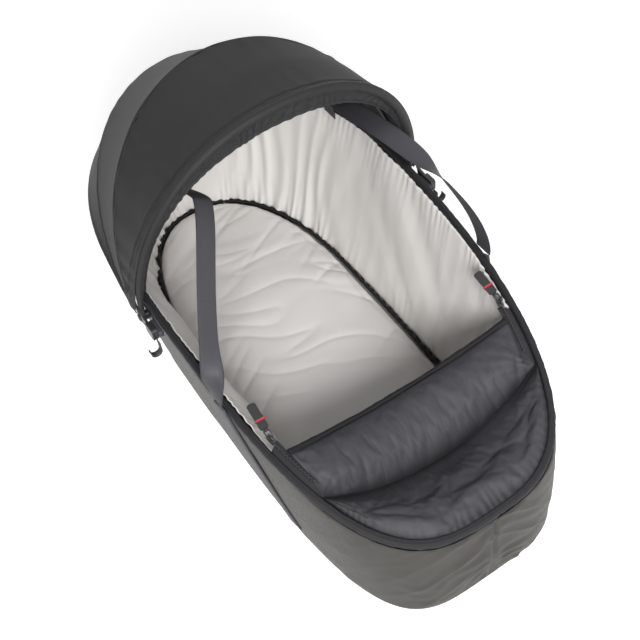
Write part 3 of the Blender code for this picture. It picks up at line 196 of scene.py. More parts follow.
# How the hood's cloth turns in at a seam, and the fold beside it
SEAM_DIP = 0.0016
SEAM_DIP_WIDTH = 0.0013
SIDE_FOLD = 0.0005
SIDE_FOLD_AWAY = 0.0042
SIDE_FOLD_WIDTH = 0.0018

# Webbing handles: side, rise, lean, lean of the legs, skew and roundness
WEBBING_WIDTH = 0.0250
WEBBING_THICKNESS = 0.0016
WEBBING_GIRTH = WEBBING_WIDTH * 2.1
WEBBING_STITCH_SHARES = (0.045, 0.455)
HANDLE_FOOT_Y = -0.119
HANDLE_HEAD_Y = 0.180
HANDLE_STUB = 0.004
WEBBING_UNEVEN = 0.0006
HANDLE_SHAPES = {
    "left": (-1, 0.143, math.radians(34), math.radians(12), math.radians(5), 1.36),
    "right": (1, 0.094, math.radians(19), math.radians(9), math.radians(11), 1.70),
}
TWIST_SHARES = {"left": (0.0, 0.20), "right": (0.26, 0.46)}
HEAD_TWIST_SHARES = (0.14, 0.42)
STRIP_PROUD = 0.0006

# Apron
APRON_CORNER = 0.006
SLIDER_ROOM = 0.0018
CREASE_Y = -0.263
CREASE_DIP = 0.0060
CREASE_GAP = 0.0008
CREASE_BOW = 0.013
CREASE_HANG = 0.014
FLARE_Y = -0.246
HEM_SIDE_Y = -0.2006
HEM_BOW = 0.008
APRON_SAG = 0.030
APRON_EDGE = 0.0015
FRONT_PAD = 0.0140
FOOT_PAD = 0.0090
UNDERSIDE_PAD = FOOT_PAD * 0.8
HEM_ROLL_RADIUS = 0.0042
HEM_ROLL_LENGTH = 0.33
SEAM_LAP = 0.035
NEARLY_WHOLE = 0.9995
PANEL_CLOTH = (0.3, 0.14)

# Rows of stitches
STITCH_PITCH = 0.0030
LONG_PITCH = 0.0032
STITCH_WIDTH = 0.0005

# Camera, as fitted to the photograph
CAMERA_TARGET = (-0.0066, -0.0449, 0.15)
CAMERA_DISTANCE = 1.2304
CAMERA_TURN = math.radians(-28.66)
CAMERA_RISE = math.radians(52.11)
CAMERA_ROLL = math.radians(-6.15)
CAMERA_LENS = 56.08
SENSOR_WIDTH = 36.0

# Floor, world and lamps: place, size and power
FLOOR_SIZE = 6.0
FLOOR_DROP = 0.0005
FLOOR_COLOUR = (0.92, 0.92, 0.92, 1.0)
FLOOR_GLOW = 0.42
WORLD_STRENGTH = 0.30
WHITE = (1.0, 1.0, 1.0, 1.0)
LAMPS = {
    "key": ((-0.75, -1.8, 1.6), 1.0, 68.0),
    "fill": ((1.5, -0.6, 1.9), 1.6, 6.0),
    "back": ((0.2, 1.8, 1.6), 1.2, 4.0),
}
LAMP_TARGET = (0.0, -0.05, 0.15)


class CarrycotSettings(bpy.types.PropertyGroup):
    """Sizes and colours that a user would change."""

    fold_depth: bpy.props.FloatProperty(
        name="Lining fold depth", description="How far the lining's folds stand in",
        default=0.0075, min=0.0, max=0.02, unit="LENGTH", subtype="DISTANCE")
    wrinkle_depth: bpy.props.FloatProperty(
        name="Mattress wrinkle depth", description="Height of the soft wrinkles on the mattress",
        default=0.0042, min=0.0, max=0.01, unit="LENGTH", subtype="DISTANCE")
    ruffle_wave: bpy.props.FloatProperty(
        name="Ruffle wave", description="Height of the gathers of the hood's elastic edge",
        default=0.0018, min=0.0, max=0.01, unit="LENGTH", subtype="DISTANCE")
    apron_crumple: bpy.props.FloatProperty(
        name="Apron crumple", description="Depth of the creases in the padded apron",
        default=0.0040, min=0.0, max=0.02, unit="LENGTH", subtype="DISTANCE")
    tooth_pitch: bpy.props.FloatProperty(
        name="Zip tooth pitch", description="Distance from one zip tooth to the next",
        default=0.0021, min=0.001, max=0.01, unit="LENGTH", subtype="DISTANCE")
    shell_colour: bpy.props.FloatVectorProperty(
        name="Shell colour", description="Woven cloth of the tub", subtype="COLOR", size=3,
        min=0.0, max=1.0, default=(0.040, 0.0370, 0.0325))
    hood_colour: bpy.props.FloatVectorProperty(
        name="Hood colour", description="Woven cloth of the hood", subtype="COLOR", size=3,
        min=0.0, max=1.0, default=(0.024, 0.024, 0.025))
    apron_colour: bpy.props.FloatVectorProperty(
        name="Apron colour", description="Padded cloth of the apron", subtype="COLOR", size=3,
        min=0.0, max=1.0, default=(0.042, 0.042, 0.048))
    trim_colour: bpy.props.FloatVectorProperty(
        name="Trim colour", description="Rim binding and zip tapes", subtype="COLOR", size=3,
        min=0.0, max=1.0, default=(0.017, 0.017, 0.019))
    lining_colour: bpy.props.FloatVectorProperty(
        name="Lining colour", description="Soft off-white lining", subtype="COLOR", size=3,
        min=0.0, max=1.0, default=(0.710, 0.690, 0.665))
    mattress_colour: bpy.props.FloatVectorProperty(
        name="Mattress colour", description="Light grey mattress cover", subtype="COLOR", size=3,
        min=0.0, max=1.0, default=(0.720, 0.700, 0.685))
    webbing_colour: bpy.props.FloatVectorProperty(
        name="Webbing colour", description="Handles and clip straps", subtype="COLOR", size=3,
        min=0.0, max=1.0, default=(0.050, 0.049, 0.056))


def settings():
    """The values that the panel shows."""
    return bpy.context.scene.carrycot


# Plain sums

def mix(low, high, share):
    """The value at a share of the way from a low one to a high one."""
    return low + (high - low) * share


def swell(share):
    """0 at both ends and 1 in the middle."""
    return 4.0 * share * (1.0 - share)


def smooth(share):
    """0 to 1 without a sharp start or end."""
    share = min(1.0, max(0.0, share))
    return share * share * (3.0 - 2.0 * share)


def power(value, exponent):
    """A power that keeps the sign."""
    return math.copysign(abs(value) ** exponent, value)


def bump(distance, width):
    """A soft ridge: 1 at distance 0, fading over a width."""
    return math.exp(-(distance / width) ** 2)


def fade(distance, reach):
    """1 at distance 0, falling off over a reach."""
    return math.exp(-distance / reach)


def rise(value, reach, start=0.0):
    """0 up to a start, then softly up to 1 over a reach."""
    return smooth((value - start) / reach)


def ebb(value, end, reach):
    """1 at first, then softly down to 0 over the reach before an end."""
    return smooth((end - value) / reach)


def wave(turns):
    """A sine wave by its number of turns."""
    return math.sin(2 * math.pi * turns)


def pleats(turns):
    """A row of round pleats, from 0 to 1."""
    return 0.5 + 0.5 * wave(turns)


def rough(x, y, seed):
    """Soft noise from -1 to 1 that is the same on each run."""
    return noise.noise(Vector((x, y, seed * 17.3)))


def ripple(x, y, seed, wide, tall=1.0, depth=1.0):
    """Soft noise whose swells have a given width, height and depth."""
    return depth * rough(x / wide, y / tall, seed)


def crease(x, y, seed, sharpness=2.0):
    """Noise drawn into narrow lines: 1 along a line, and down to 0 between lines."""
    return (1.0 - min(1.0, abs(rough(x, y, seed)) * 2.0)) ** sharpness


# Curves of the cot, as in the frame's source

def plan_point(angle, half_width, head, foot, head_round, foot_round):
    """A point of a rounded plan that is widest at one place along the cot."""
    across = math.sin(angle)
    along = math.cos(angle)
    if along > 0:
        x = half_width * power(across, 2.0 / foot_round)
        y = WIDEST_AT - (foot + WIDEST_AT) * abs(along) ** (2.0 / foot_round)
    else:
        x = half_width * power(across, 2.0 / head_round)
        y = WIDEST_AT + (head - WIDEST_AT) * abs(along) ** (2.0 / head_round)
    return x, y


def rim_height(y):
    """The rim's height, on a smooth curve through its three given heights."""
    total = 0.0
    for place, (spot, height) in enumerate(RIM_HEIGHTS):
        weight = height
        for other, (other_spot, _) in enumerate(RIM_HEIGHTS):
            if other != place:
                weight *= (y - other_spot) / (spot - other_spot)
        total += weight
    return total


def rim_plan(angle, inset=0.0):
    """A point of the rim's outer line, or of a line inside it."""
    return plan_point(angle, RIM_HALF_WIDTH - inset, HEAD_REACH - inset, FOOT_REACH - inset,
                      HEAD_ROUNDNESS, FOOT_ROUNDNESS)


def even_angles(point_at, first, last, count):
    """Angles that divide a curve into stretches of equal length, and its length."""
    fine = np.linspace(first, last, CURVE_STEPS)
    points = np.array([point_at(angle) for angle in fine])
    steps = np.linalg.norm(np.diff(points, axis=0), axis=1)
    lengths = np.concatenate(([0.0], np.cumsum(steps)))
    wanted = np.linspace(0.0, lengths[-1], count + 1)
    return [float(angle) for angle in np.interp(wanted, lengths, fine)], float(lengths[-1])


class Track:
    """A curve by its share of length: 0 at one end, 1 at the other."""

    def __init__(self, point_at, first, last):
        self.angles, self.length = even_angles(point_at, first, last, TRACK_STEPS)

    def angle(self, share):
        """The angle at a share of the curve's length."""
        place = share * (len(self.angles) - 1)
        low = max(0, min(int(place), len(self.angles) - 2))
        return mix(self.angles[low], self.angles[low + 1], place - low)


RIM_TRACK = Track(rim_plan, -math.pi, math.pi)


def angle_at_y(y, side=1, curve=rim_plan):
    """The angle at which a curve reaches a place along the cot."""
    low = 0.0
    high = math.pi
    for _ in range(HALVINGS):
        middle = (low + high) / 2
        if curve(middle)[1] < y:
            low = middle
        else:
            high = middle
    return side * low


def rim_point(angle, inset, drop):
    """A point inside the rim and below it."""
    x, y = rim_plan(angle, inset)
    return Vector((x, y, rim_height(y) - drop))


def wall_plan(angle, share, inset):
    """A point of the wall's outline at a share of its height."""
    side = SIDE_BULGE * swell(share) - inset
    end = END_BULGE * swell(share) - inset
    return plan_point(angle,
                      mix(BASE_HALF_WIDTH, RIM_HALF_WIDTH, share) + side,
                      mix(BASE_HEAD_REACH, HEAD_REACH, share) + side,
                      mix(BASE_FOOT_REACH, FOOT_REACH, share) + end,
                      HEAD_ROUNDNESS,
                      mix(BASE_FOOT_ROUNDNESS, FOOT_ROUNDNESS, share))


def wall_at_height(angle, height, inset):
    """A point of the outer wall at a height."""
    share = height / rim_height(rim_plan(angle)[1])
    x, y = wall_plan(angle, share, inset)
    return Vector((x, y, height))


def wall_top(angle, inset):
    """Where the tub's cloth ends under the binding."""
    drop = BINDING_HEIGHT * UNDER_BINDING_SHARE
    point = wall_at_height(angle, rim_height(rim_plan(angle)[1]) - drop, inset)
    return Vector((point.x, point.y, rim_height(point.y) - drop))


def wall_x(y, height, inset=0.0):
    """How far out the wall stands at a place along the cot."""
    share = height / rim_height(y)
    half_width = mix(BASE_HALF_WIDTH, RIM_HALF_WIDTH, share) + SIDE_BULGE * swell(share) - inset
    if y < WIDEST_AT:
        reach = mix(BASE_FOOT_REACH, FOOT_REACH, share) + END_BULGE * swell(share) - inset
        roundness = mix(BASE_FOOT_ROUNDNESS, FOOT_ROUNDNESS, share)
        ratio = (WIDEST_AT - y) / (reach + WIDEST_AT)
    else:
        reach = mix(BASE_HEAD_REACH, HEAD_REACH, share) + SIDE_BULGE * swell(share) - inset
        roundness = HEAD_ROUNDNESS
        ratio = (y - WIDEST_AT) / (reach - WIDEST_AT)
    return half_width * (1.0 - ratio ** roundness) ** (1.0 / roundness)


def outward(angle):
    """The level direction away from the cot at a station of the rim."""
    before = Vector((*rim_plan(angle - RIM_STEP), 0))
    after = Vector((*rim_plan(angle + RIM_STEP), 0))
    along = (after - before).normalized()
    return Vector((along.y, -along.x, 0))


def arc_point(arc, angle, depth=0.0, shift=0.0):
    """A point of a hood arc, pulled in by a depth and moved square to the arc by a shift."""
    half_width, reach, tilt, roundness = arc
    x = (half_width - depth) * power(math.cos(angle), 2.0 / roundness)
    up = (reach - depth) * abs(math.sin(angle)) ** (2.0 / roundness)
    along = Vector((0, math.sin(tilt), math.cos(tilt)))
    square = Vector((0, math.cos(tilt), -math.sin(tilt)))
    return Vector((x, PIVOT_Y, PIVOT_HEIGHT)) + along * up + square * shift


def arc_track(arc, start):
    """A hood arc by its share of length, without its first stretch at each pivot."""
    half_width, reach, _, roundness = arc
    first = math.asin((start / reach) ** (roundness / 2))
    flat = (half_width, reach, 0.0, roundness)
    return Track(lambda angle: arc_point(flat, angle)[:], first, math.pi - first)


def cover(point):
    """Hood cloth stands a little further out where it covers the pivots."""
    distance = math.hypot(point.y - PIVOT_Y, point.z - PIVOT_HEIGHT)
    out = PIVOT_COVER * max(0.0, 1.0 - distance / PIVOT_COVER_REACH) ** 2
    return point + Vector((math.copysign(out, point.x), 0, 0))


# Making pieces

UPWARD = Vector((0, 0, 1))


def gathered(share):
    """Moves even columns toward the middle, where a seam needs more of them."""
    side = 2.0 * share - 1.0
    return 0.5 + 0.5 * math.copysign(abs(side) ** 1.5, side)


def grid(columns, rows, place, lengths, closed_u=False, closed_v=False, spread=None):
    """A bmesh grid bent to a shape: place(u, v) gives each point, and lengths scale its UV map."""
    bm = bmesh.new()
    bmesh.ops.create_grid(bm, x_segments=columns, y_segments=rows, size=0.5)
    layer = bm.loops.layers.uv.new("cloth")
    shares = {}
    for vert in bm.verts:
        u = min(1.0, max(0.0, vert.co.x + 0.5))
        shares[vert] = (spread(u) if spread else u, min(1.0, max(0.0, vert.co.y + 0.5)))
    for face in bm.faces:
        for loop in face.loops:
            u, v = shares[loop.vert]
            loop[layer].uv = (u * lengths[0], v * lengths[1])
    for vert, (u, v) in shares.items():
        vert.co = place(0.0 if closed_u and u > 1 - MERGE_DISTANCE else u,
                        0.0 if closed_v and v > 1 - MERGE_DISTANCE else v)
    bmesh.ops.remove_doubles(bm, verts=bm.verts, dist=MERGE_DISTANCE)
    return bm


def fill_ends(bm):
    """Close the open ends of a tube."""
    edges = [edge for edge in bm.edges if edge.is_boundary]
    bmesh.ops.holes_fill(bm, edges=edges, sides=0)


def finished(name, bm, material, body, flip=None):
    """Turn a bmesh into a named piece that rides on a body."""
    bmesh.ops.recalc_face_normals(bm, faces=bm.faces)
    if flip is not None:
        face = max(bm.faces, key=lambda f: f.calc_center_median().dot(flip))
        if face.normal.dot(flip) < 0:
            bmesh.ops.reverse_faces(bm, faces=bm.faces)
    mesh = bpy.data.meshes.new(name)
    bm.to_mesh(mesh)
    bm.free()
    mesh.shade_smooth()
    piece = bpy.data.objects.new(name, mesh)
    bpy.context.scene.collection.objects.link(piece)
    mesh.materials.append(material)
    if body:
        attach(piece, body)
    return piece


def thicken(piece, thickness, offset=-1.0):
    """Give a sheet its thickness."""
    modifier = piece.modifiers.new("thickness", "SOLIDIFY")
    modifier.thickness = thickness
    modifier.offset = offset
    modifier.use_even_offset = False


def refine(piece, levels=1):
    """Finish a padded piece with a subdivided surface."""
    modifier = piece.modifiers.new("refine", "SUBSURF")
    modifier.levels = levels
    modifier.render_levels = levels


CLOTH_QUALITY = 5
CLOTH_BENDING = 0.1
CLOTH_FRAMES = 20


def puffed(bm, pressure, cap, voxel=0.0, sewn=None, spare=0.0):
    """Stuffing: the closed pad is blown up as cloth, held where it is sewn.

    With a voxel size it is remeshed first. The spare share of cloth makes it pucker beside
    its seams. No point is blown further than the cap, and the result is smoothed a little.
    """
    mesh = bpy.data.meshes.new("stuffing")
    bmesh.ops.recalc_face_normals(bm, faces=bm.faces)
    bm.to_mesh(mesh)
    bm.free()
    pad = bpy.data.objects.new("stuffing", mesh)
    scene = bpy.context.scene
    scene.collection.objects.link(pad)
    if voxel:
        remesh = pad.modifiers.new("remesh", "REMESH")
        remesh.mode = "VOXEL"
        remesh.voxel_size = voxel
        apply_modifiers(pad)
    rest = [vert.co.copy() for vert in pad.data.vertices]
    cloth = pad.modifiers.new("cloth", "CLOTH")
    cloth.settings.use_pressure = True
    cloth.settings.uniform_pressure_force = pressure
    cloth.settings.effector_weights.gravity = 0.0
    cloth.settings.quality = CLOTH_QUALITY
    cloth.settings.bending_stiffness = CLOTH_BENDING
    if sewn:
        held = pad.vertex_groups.new(name="sewn")
        for vert in pad.data.vertices:
            held.add([vert.index], sewn(vert.co), "REPLACE")
        cloth.settings.vertex_group_mass = "sewn"
        cloth.settings.shrink_min = -spare
    cloth.point_cache.frame_start = 1
    cloth.point_cache.frame_end = CLOTH_FRAMES
    for frame_number in range(1, CLOTH_FRAMES + 1):
        scene.frame_set(frame_number)
    apply_modifiers(pad)
    for vert, start in zip(pad.data.vertices, rest):
        move = vert.co - start
        if move.length > cap:
            vert.co = start + move * (cap / move.length)
    scene.frame_set(1)
    result = bmesh.new()
    result.from_mesh(pad.data)
    bpy.data.objects.remove(pad, do_unlink=True)
    bmesh.ops.smooth_vert(result, verts=result.verts, factor=0.5, use_axis_x=True,
                          use_axis_y=True, use_axis_z=True)
    return result


def apply_modifiers(piece):
    """Keep what the modifiers make of a piece."""
    graph = bpy.context.evaluated_depsgraph_get()
    mesh = bpy.data.meshes.new_from_object(piece.evaluated_get(graph))
    piece.modifiers.clear()
    piece.data = mesh


# Node groups and materials

FIBRE_SCALE = 900.0
CROSSING_SHARE = 0.25
QUICK_TONE_SCALE = 9.0
CREASE_SCALE = 3.0
SLOW_SHARE = 0.65
STITCH_BREAK = -0.45
GROOVE_TIMES = 3.0
GROOVE_DEPTH = 1.4
THREAD_HEIGHT = 1.8
THREAD_TONE = 0.35
SHADE_TONE = 0.75
GRAIN_SCALE = 900.0
GRAIN_DEPTH = 0.0002
WEAR_TIMES = 20.0
WEAR_ROUGHNESS = 0.15
WEAR_OFFSET = 0.07
WORN_DARK = 0.8
WORN_LIGHT = 1.3


def node_group(name, inputs, outputs):
    """A new shader node group with named inputs and outputs."""
    made = bpy.data.node_groups.new(name, "ShaderNodeTree")
    for label, kind, default in inputs:
        socket = made.interface.new_socket(label, in_out="INPUT", socket_type=kind)
        if default is not None:
            socket.default_value = default
    for label in outputs:
        made.interface.new_socket(label, in_out="OUTPUT", socket_type="NodeSocketFloat")
    return made, made.nodes.new("NodeGroupInput"), made.nodes.new("NodeGroupOutput")


class Wiring:
    """Short words for joining shader nodes."""

    # Places of the colour Mix node's sockets, whose names it uses more than once
    MIX_FACTOR = 0
    MIX_FIRST = 6
    MIX_SECOND = 7
    MIX_RESULT = 2

    def __init__(self, tree):
        self.tree = tree

    def node(self, kind, **values):
        """A new node with some of its settings."""
        made = self.tree.nodes.new(kind)
        for name, value in values.items():
            setattr(made, name, value)
        return made

    def join(self, source, target):
        """Feed a socket from another one, or give it a plain value."""
        if isinstance(source, (int, float, tuple)):
            target.default_value = source
        else:
            self.tree.links.new(source, target)

    def math(self, operation, *values):
        """A sum of sockets and plain values."""
        made = self.node("ShaderNodeMath", operation=operation)
        for place, value in enumerate(values):
            self.join(value, made.inputs[place])
        return made.outputs[0]

    def noise(self, vector, scale, detail):
        """Soft noise, as one value."""
        made = self.node("ShaderNodeTexNoise")
        self.join(vector, made.inputs["Vector"])
        self.join(scale, made.inputs["Scale"])
        self.join(detail, made.inputs["Detail"])
        return made.outputs[0]

    def blend(self, factor, first, second):
        """A colour between two others."""
        made = self.node("ShaderNodeMix", data_type="RGBA")
        self.join(factor, made.inputs[self.MIX_FACTOR])
        self.join(first, made.inputs[self.MIX_FIRST])
        self.join(second, made.inputs[self.MIX_SECOND])
        return made.outputs[self.MIX_RESULT]

    def group(self, name, **values):
        """Place a shared node group and set its named inputs."""
        made = self.node("ShaderNodeGroup", node_tree=shared_group(name))
        for label, value in values.items():
            self.join(value, made.inputs[label])
        return made

    def relief(self, height, distance, strength, shader):
        """Feed a height to the shader's normal."""
        made = self.node("ShaderNodeBump")
        self.join(distance, made.inputs["Distance"])
        self.join(strength, made.inputs["Strength"])
        self.join(height, made.inputs["Height"])
        self.join(made.outputs["Normal"], shader.inputs["Normal"])


def weave_group():
    """Plain weave: raised where warp and weft cross."""
    made, source, sink = node_group(
        "Weave",
        [("Vector", "NodeSocketVector", None), ("Pitch", "NodeSocketFloat", 0.001)],
        ["Height", "Thread"])
    w = Wiring(made)
    parts = w.node("ShaderNodeSeparateXYZ")
    w.join(source.outputs["Vector"], parts.inputs[0])
    turns = w.math("DIVIDE", 2 * math.pi, source.outputs["Pitch"])
    warp = w.math("SINE", w.math("MULTIPLY", parts.outputs["X"], turns))
    weft = w.math("SINE", w.math("MULTIPLY", parts.outputs["Y"], turns))
    crossing = w.math("MULTIPLY", warp, weft)
    w.join(w.math("MULTIPLY_ADD", crossing, 0.5, 0.5), sink.inputs["Height"])
    fibre = w.noise(source.outputs["Vector"], FIBRE_SCALE, 1.0)
    w.join(w.math("MULTIPLY_ADD", crossing, CROSSING_SHARE, fibre), sink.inputs["Thread"])
    return made


def shade_group():
    """Slow changes of tone and small creases that any cloth has."""
    made, source, sink = node_group(
        "Cloth shade",
        [("Vector", "NodeSocketVector", None), ("Scale", "NodeSocketFloat", 6.0)],
        ["Shade", "Crease"])
    w = Wiring(made)
    scaled = w.node("ShaderNodeVectorMath", operation="SCALE")
    w.join(source.outputs["Vector"], scaled.inputs[0])
    w.join(source.outputs["Scale"], scaled.inputs["Scale"])
    slow = w.noise(scaled.outputs[0], 1.0, 2.0)
    quick = w.noise(scaled.outputs[0], QUICK_TONE_SCALE, 3.0)
    tone = w.math("MULTIPLY_ADD", quick, 1 - SLOW_SHARE, w.math("MULTIPLY", slow, SLOW_SHARE))
    w.join(tone, sink.inputs["Shade"])
    lines = w.noise(scaled.outputs[0], CREASE_SCALE, 4.0)
    ridge = w.math("ABSOLUTE", w.math("SUBTRACT", lines, 0.5))
    w.join(w.math("MULTIPLY", ridge, 2.0), sink.inputs["Crease"])
    return made


def stitch_group():
    """One line of stitches along U at a given V."""
    made, source, sink = node_group(
        "Stitches",
        [("Vector", "NodeSocketVector", None), ("Line", "NodeSocketFloat", 0.0),
         ("Pitch", "NodeSocketFloat", STITCH_PITCH), ("Width", "NodeSocketFloat", STITCH_WIDTH)],
        ["Thread", "Groove"])
    w = Wiring(made)
    parts = w.node("ShaderNodeSeparateXYZ")
    w.join(source.outputs["Vector"], parts.inputs[0])
    away = w.math("ABSOLUTE", w.math("SUBTRACT", parts.outputs["Y"], source.outputs["Line"]))
    across = w.math("SUBTRACT", 1.0, w.math("DIVIDE", away, source.outputs["Width"]))
    turns = w.math("DIVIDE", 2 * math.pi, source.outputs["Pitch"])
    along = w.math("SINE", w.math("MULTIPLY", parts.outputs["X"], turns))
    run = w.math("GREATER_THAN", along, STITCH_BREAK)
    w.join(w.math("MULTIPLY", w.math("MAXIMUM", across, 0.0), run), sink.inputs["Thread"])
    groove_width = w.math("MULTIPLY", source.outputs["Width"], GROOVE_TIMES)
    wide = w.math("SUBTRACT", 1.0, w.math("DIVIDE", away, groove_width))
    w.join(w.math("MAXIMUM", wide, 0.0), sink.inputs["Groove"])
    return made


def grain_group():
    """The fine grain of moulded plastic, and slow wear over it."""
    made, source, sink = node_group(
        "Grain",
        [("Vector", "NodeSocketVector", None), ("Scale", "NodeSocketFloat", GRAIN_SCALE)],
        ["Grain", "Wear"])
    w = Wiring(made)
    w.join(w.noise(source.outputs["Vector"], source.outputs["Scale"], 3.0), sink.inputs["Grain"])
    slow = w.math("DIVIDE", source.outputs["Scale"], WEAR_TIMES)
    w.join(w.noise(source.outputs["Vector"], slow, 2.0), sink.inputs["Wear"])
    return made


GROUPS = {}


def shared_group(name):
    """A shared node group, built the first time it is asked for."""
    makers = {"weave": weave_group, "shade": shade_group, "stitch": stitch_group,
              "grain": grain_group}
    if name not in GROUPS:
        GROUPS[name] = makers[name]()
    return GROUPS[name]


def blank_material(name):
    """A new material with its wiring and its shader."""
    made = bpy.data.materials.new(name)
    made.use_nodes = True
    return made, Wiring(made.node_tree), made.node_tree.nodes["Principled BSDF"]


def toned(colour, factor):
    """A colour made lighter or darker by a factor."""
    return tuple(min(1.0, value * factor) for value in colour)


def stitched(line, pitch=STITCH_PITCH, width=STITCH_WIDTH):
    """A row of stitches at a given place across the cloth."""
    return line, pitch, width


def cloth_material(name, colour, roughness, pitch=0.0011, weave=0.25, creases=0.3, shade=0.25,
                   sheen=0.0, stitches=(), object_space=False, thread=None, shade_scale=6.0,
                   bump_distance=0.0004, gloss=0.3, seams=(), painted_shade=None):
    """Woven cloth: a weave, slow shade, small creases, rows of stitches along and seams across.

    A darker colour takes over as painted shade where the piece's own attribute of that name says
    so.
    """
    made, w, shader = blank_material(name)
    w.join(roughness, shader.inputs["Roughness"])
    w.join(gloss, shader.inputs["Specular IOR Level"])
    if sheen:
        w.join(sheen, shader.inputs["Sheen Weight"])
        w.join(0.5, shader.inputs["Sheen Roughness"])
    body_place = w.node("ShaderNodeTexCoord").outputs["Object"]
    if object_space:
        place = body_place
    else:
        place = w.node("ShaderNodeUVMap", uv_map="cloth").outputs["UV"]
    weaving = w.group("weave", Vector=place, Pitch=pitch)
    shading = w.group("shade", Vector=body_place, Scale=shade_scale)
    dark = (*toned(colour, 1 - shade), 1.0)
    light = (*toned(colour, 1 + shade), 1.0)
    tone = w.math("MULTIPLY_ADD", weaving.outputs["Thread"], THREAD_TONE,
                  w.math("MULTIPLY", shading.outputs["Shade"], SHADE_TONE))
    base = w.blend(tone, dark, light)
    height = w.math("MULTIPLY", weaving.outputs["Height"], weave)
    height = w.math("MULTIPLY_ADD", shading.outputs["Crease"], creases, height)
    parts = w.node("ShaderNodeSeparateXYZ")
    w.join(place, parts.inputs[0])
    swapped = w.node("ShaderNodeCombineXYZ")
    w.join(parts.outputs["Y"], swapped.inputs["X"])
    w.join(parts.outputs["X"], swapped.inputs["Y"])
    rows = [(place, *row) for row in stitches] + [(swapped.outputs[0], *row) for row in seams]
    for way, line, stitch_pitch, width in rows:
        row = w.group("stitch", Vector=way, Line=line, Pitch=stitch_pitch, Width=width)
        height = w.math("MULTIPLY_ADD", row.outputs["Groove"], -GROOVE_DEPTH, height)
        height = w.math("MULTIPLY_ADD", row.outputs["Thread"], THREAD_HEIGHT, height)
        if thread is not None:
            base = w.blend(row.outputs["Thread"], base, (*thread, 1.0))
    # Painted shade: a darker colour, laid on by the piece's own mask, stands in for shade in
    # creases and along sewn edges.
    if painted_shade is not None:
        depth = w.node("ShaderNodeAttribute", attribute_name="painted_shade").outputs["Fac"]
        base = w.blend(depth, base, (*painted_shade, 1.0))
    w.join(base, shader.inputs["Base Color"])
    w.relief(height, bump_distance, 1.0, shader)
    return made


def plastic_material(name, colour, roughness, metallic=0.0, grain=0.15, scale=GRAIN_SCALE):
    """Moulded plastic or plain metal with a fine grain and a little wear."""
    made, w, shader = blank_material(name)
    w.join(metallic, shader.inputs["Metallic"])
    surface = w.group("grain", Vector=w.node("ShaderNodeTexCoord").outputs["Object"], Scale=scale)
    wear = surface.outputs["Wear"]
    dark = (*toned(colour, WORN_DARK), 1.0)
    light = (*toned(colour, WORN_LIGHT), 1.0)
    w.join(w.blend(wear, dark, light), shader.inputs["Base Color"])
    worn = w.math("MULTIPLY_ADD", wear, WEAR_ROUGHNESS, roughness - WEAR_OFFSET)
    w.join(worn, shader.inputs["Roughness"])
    w.relief(surface.outputs["Grain"], GRAIN_DEPTH, grain, shader)
    return made


# Tub

def wall_fold(distance, height, top):
    """How far the tub's cloth stands out: seam, puckers, drag folds, broad swells, base welt."""
    away = abs(distance)
    below = top - height
    out = ripple(distance, height, depth=0.0010, wide=0.10, tall=0.13, seed=1)
    out += ripple(distance, height, depth=0.0005, wide=0.035, tall=0.05, seed=2)
    slant = height / PUCKER_RISE + away / PUCKER_RUN
    slant += ripple(distance, height, depth=1.1, wide=0.05, tall=0.05, seed=3)
    out += PUCKER_DEPTH * fade(away, reach=0.050) * wave(slant) * rise(away, reach=0.012)
    lean = 1.4 if distance > 0 else 0.8
    drag = height / DRAG_RISE + away / DRAG_RUN * lean
    middle = 1 - rise(away, start=0.03, reach=0.07)
    drag_depth = (DRAG_DEPTH + DRAG_MIDDLE_DEPTH * middle) * ebb(away, end=0.30, reach=0.15)
    out += drag_depth * crease(drag, away / 0.16, 9)
    out += DRAG_DEPTH * crease(distance / 0.09, height / 0.05 + away / 0.12, 10)
    out -= SEAM_GROOVE * bump(away, SEAM_GROOVE)
    out += SEAM_FOLD * bump(away - SEAM_FOLD_AWAY, SEAM_FOLD * 2)
    pull = RIM_PULL * fade(below, reach=0.020) * ebb(away, end=0.62, reach=0.08)
    out += pull * (ripple(distance, below, wide=0.012, tall=0.06, seed=4)
                   + ripple(distance, below, depth=0.5, wide=0.030, tall=0.08, seed=5))
    out += WELT_DEPTH * bump(height - WELT_HEIGHT, WELT_DEPTH * 2)
    return max(-DEEPEST_HOLLOW, out) * rise(below, reach=0.008)


def tub_point(u, v):
    """A point of the tub's cloth: the base first, then its rounded corner, then the wall."""
    angle = RIM_TRACK.angle(u)
    corner_end = BASE_SHARE + CORNER_SHARE
    if v < BASE_SHARE:
        flat = wall_at_height(angle, 0.0, BASE_CORNER)
        share = v / BASE_SHARE
        return Vector((flat.x * share, flat.y * share, 0.0))
    if v < corner_end:
        turn = (v - BASE_SHARE) / CORNER_SHARE * math.pi / 2
        return wall_at_height(angle, BASE_CORNER * (1 - math.cos(turn)),
                              BASE_CORNER * (1 - math.sin(turn)))
    share = (v - corner_end) / (1 - corner_end)
    top = wall_top(angle, SHELL_TOP_INSET)
    height = mix(BASE_CORNER, top.z, share)
    point = wall_at_height(angle, height, 0.0).lerp(top, share ** 8)
    distance = (u - 0.5) * RIM_TRACK.length
    return point + outward(angle) * wall_fold(distance, height, top.z)


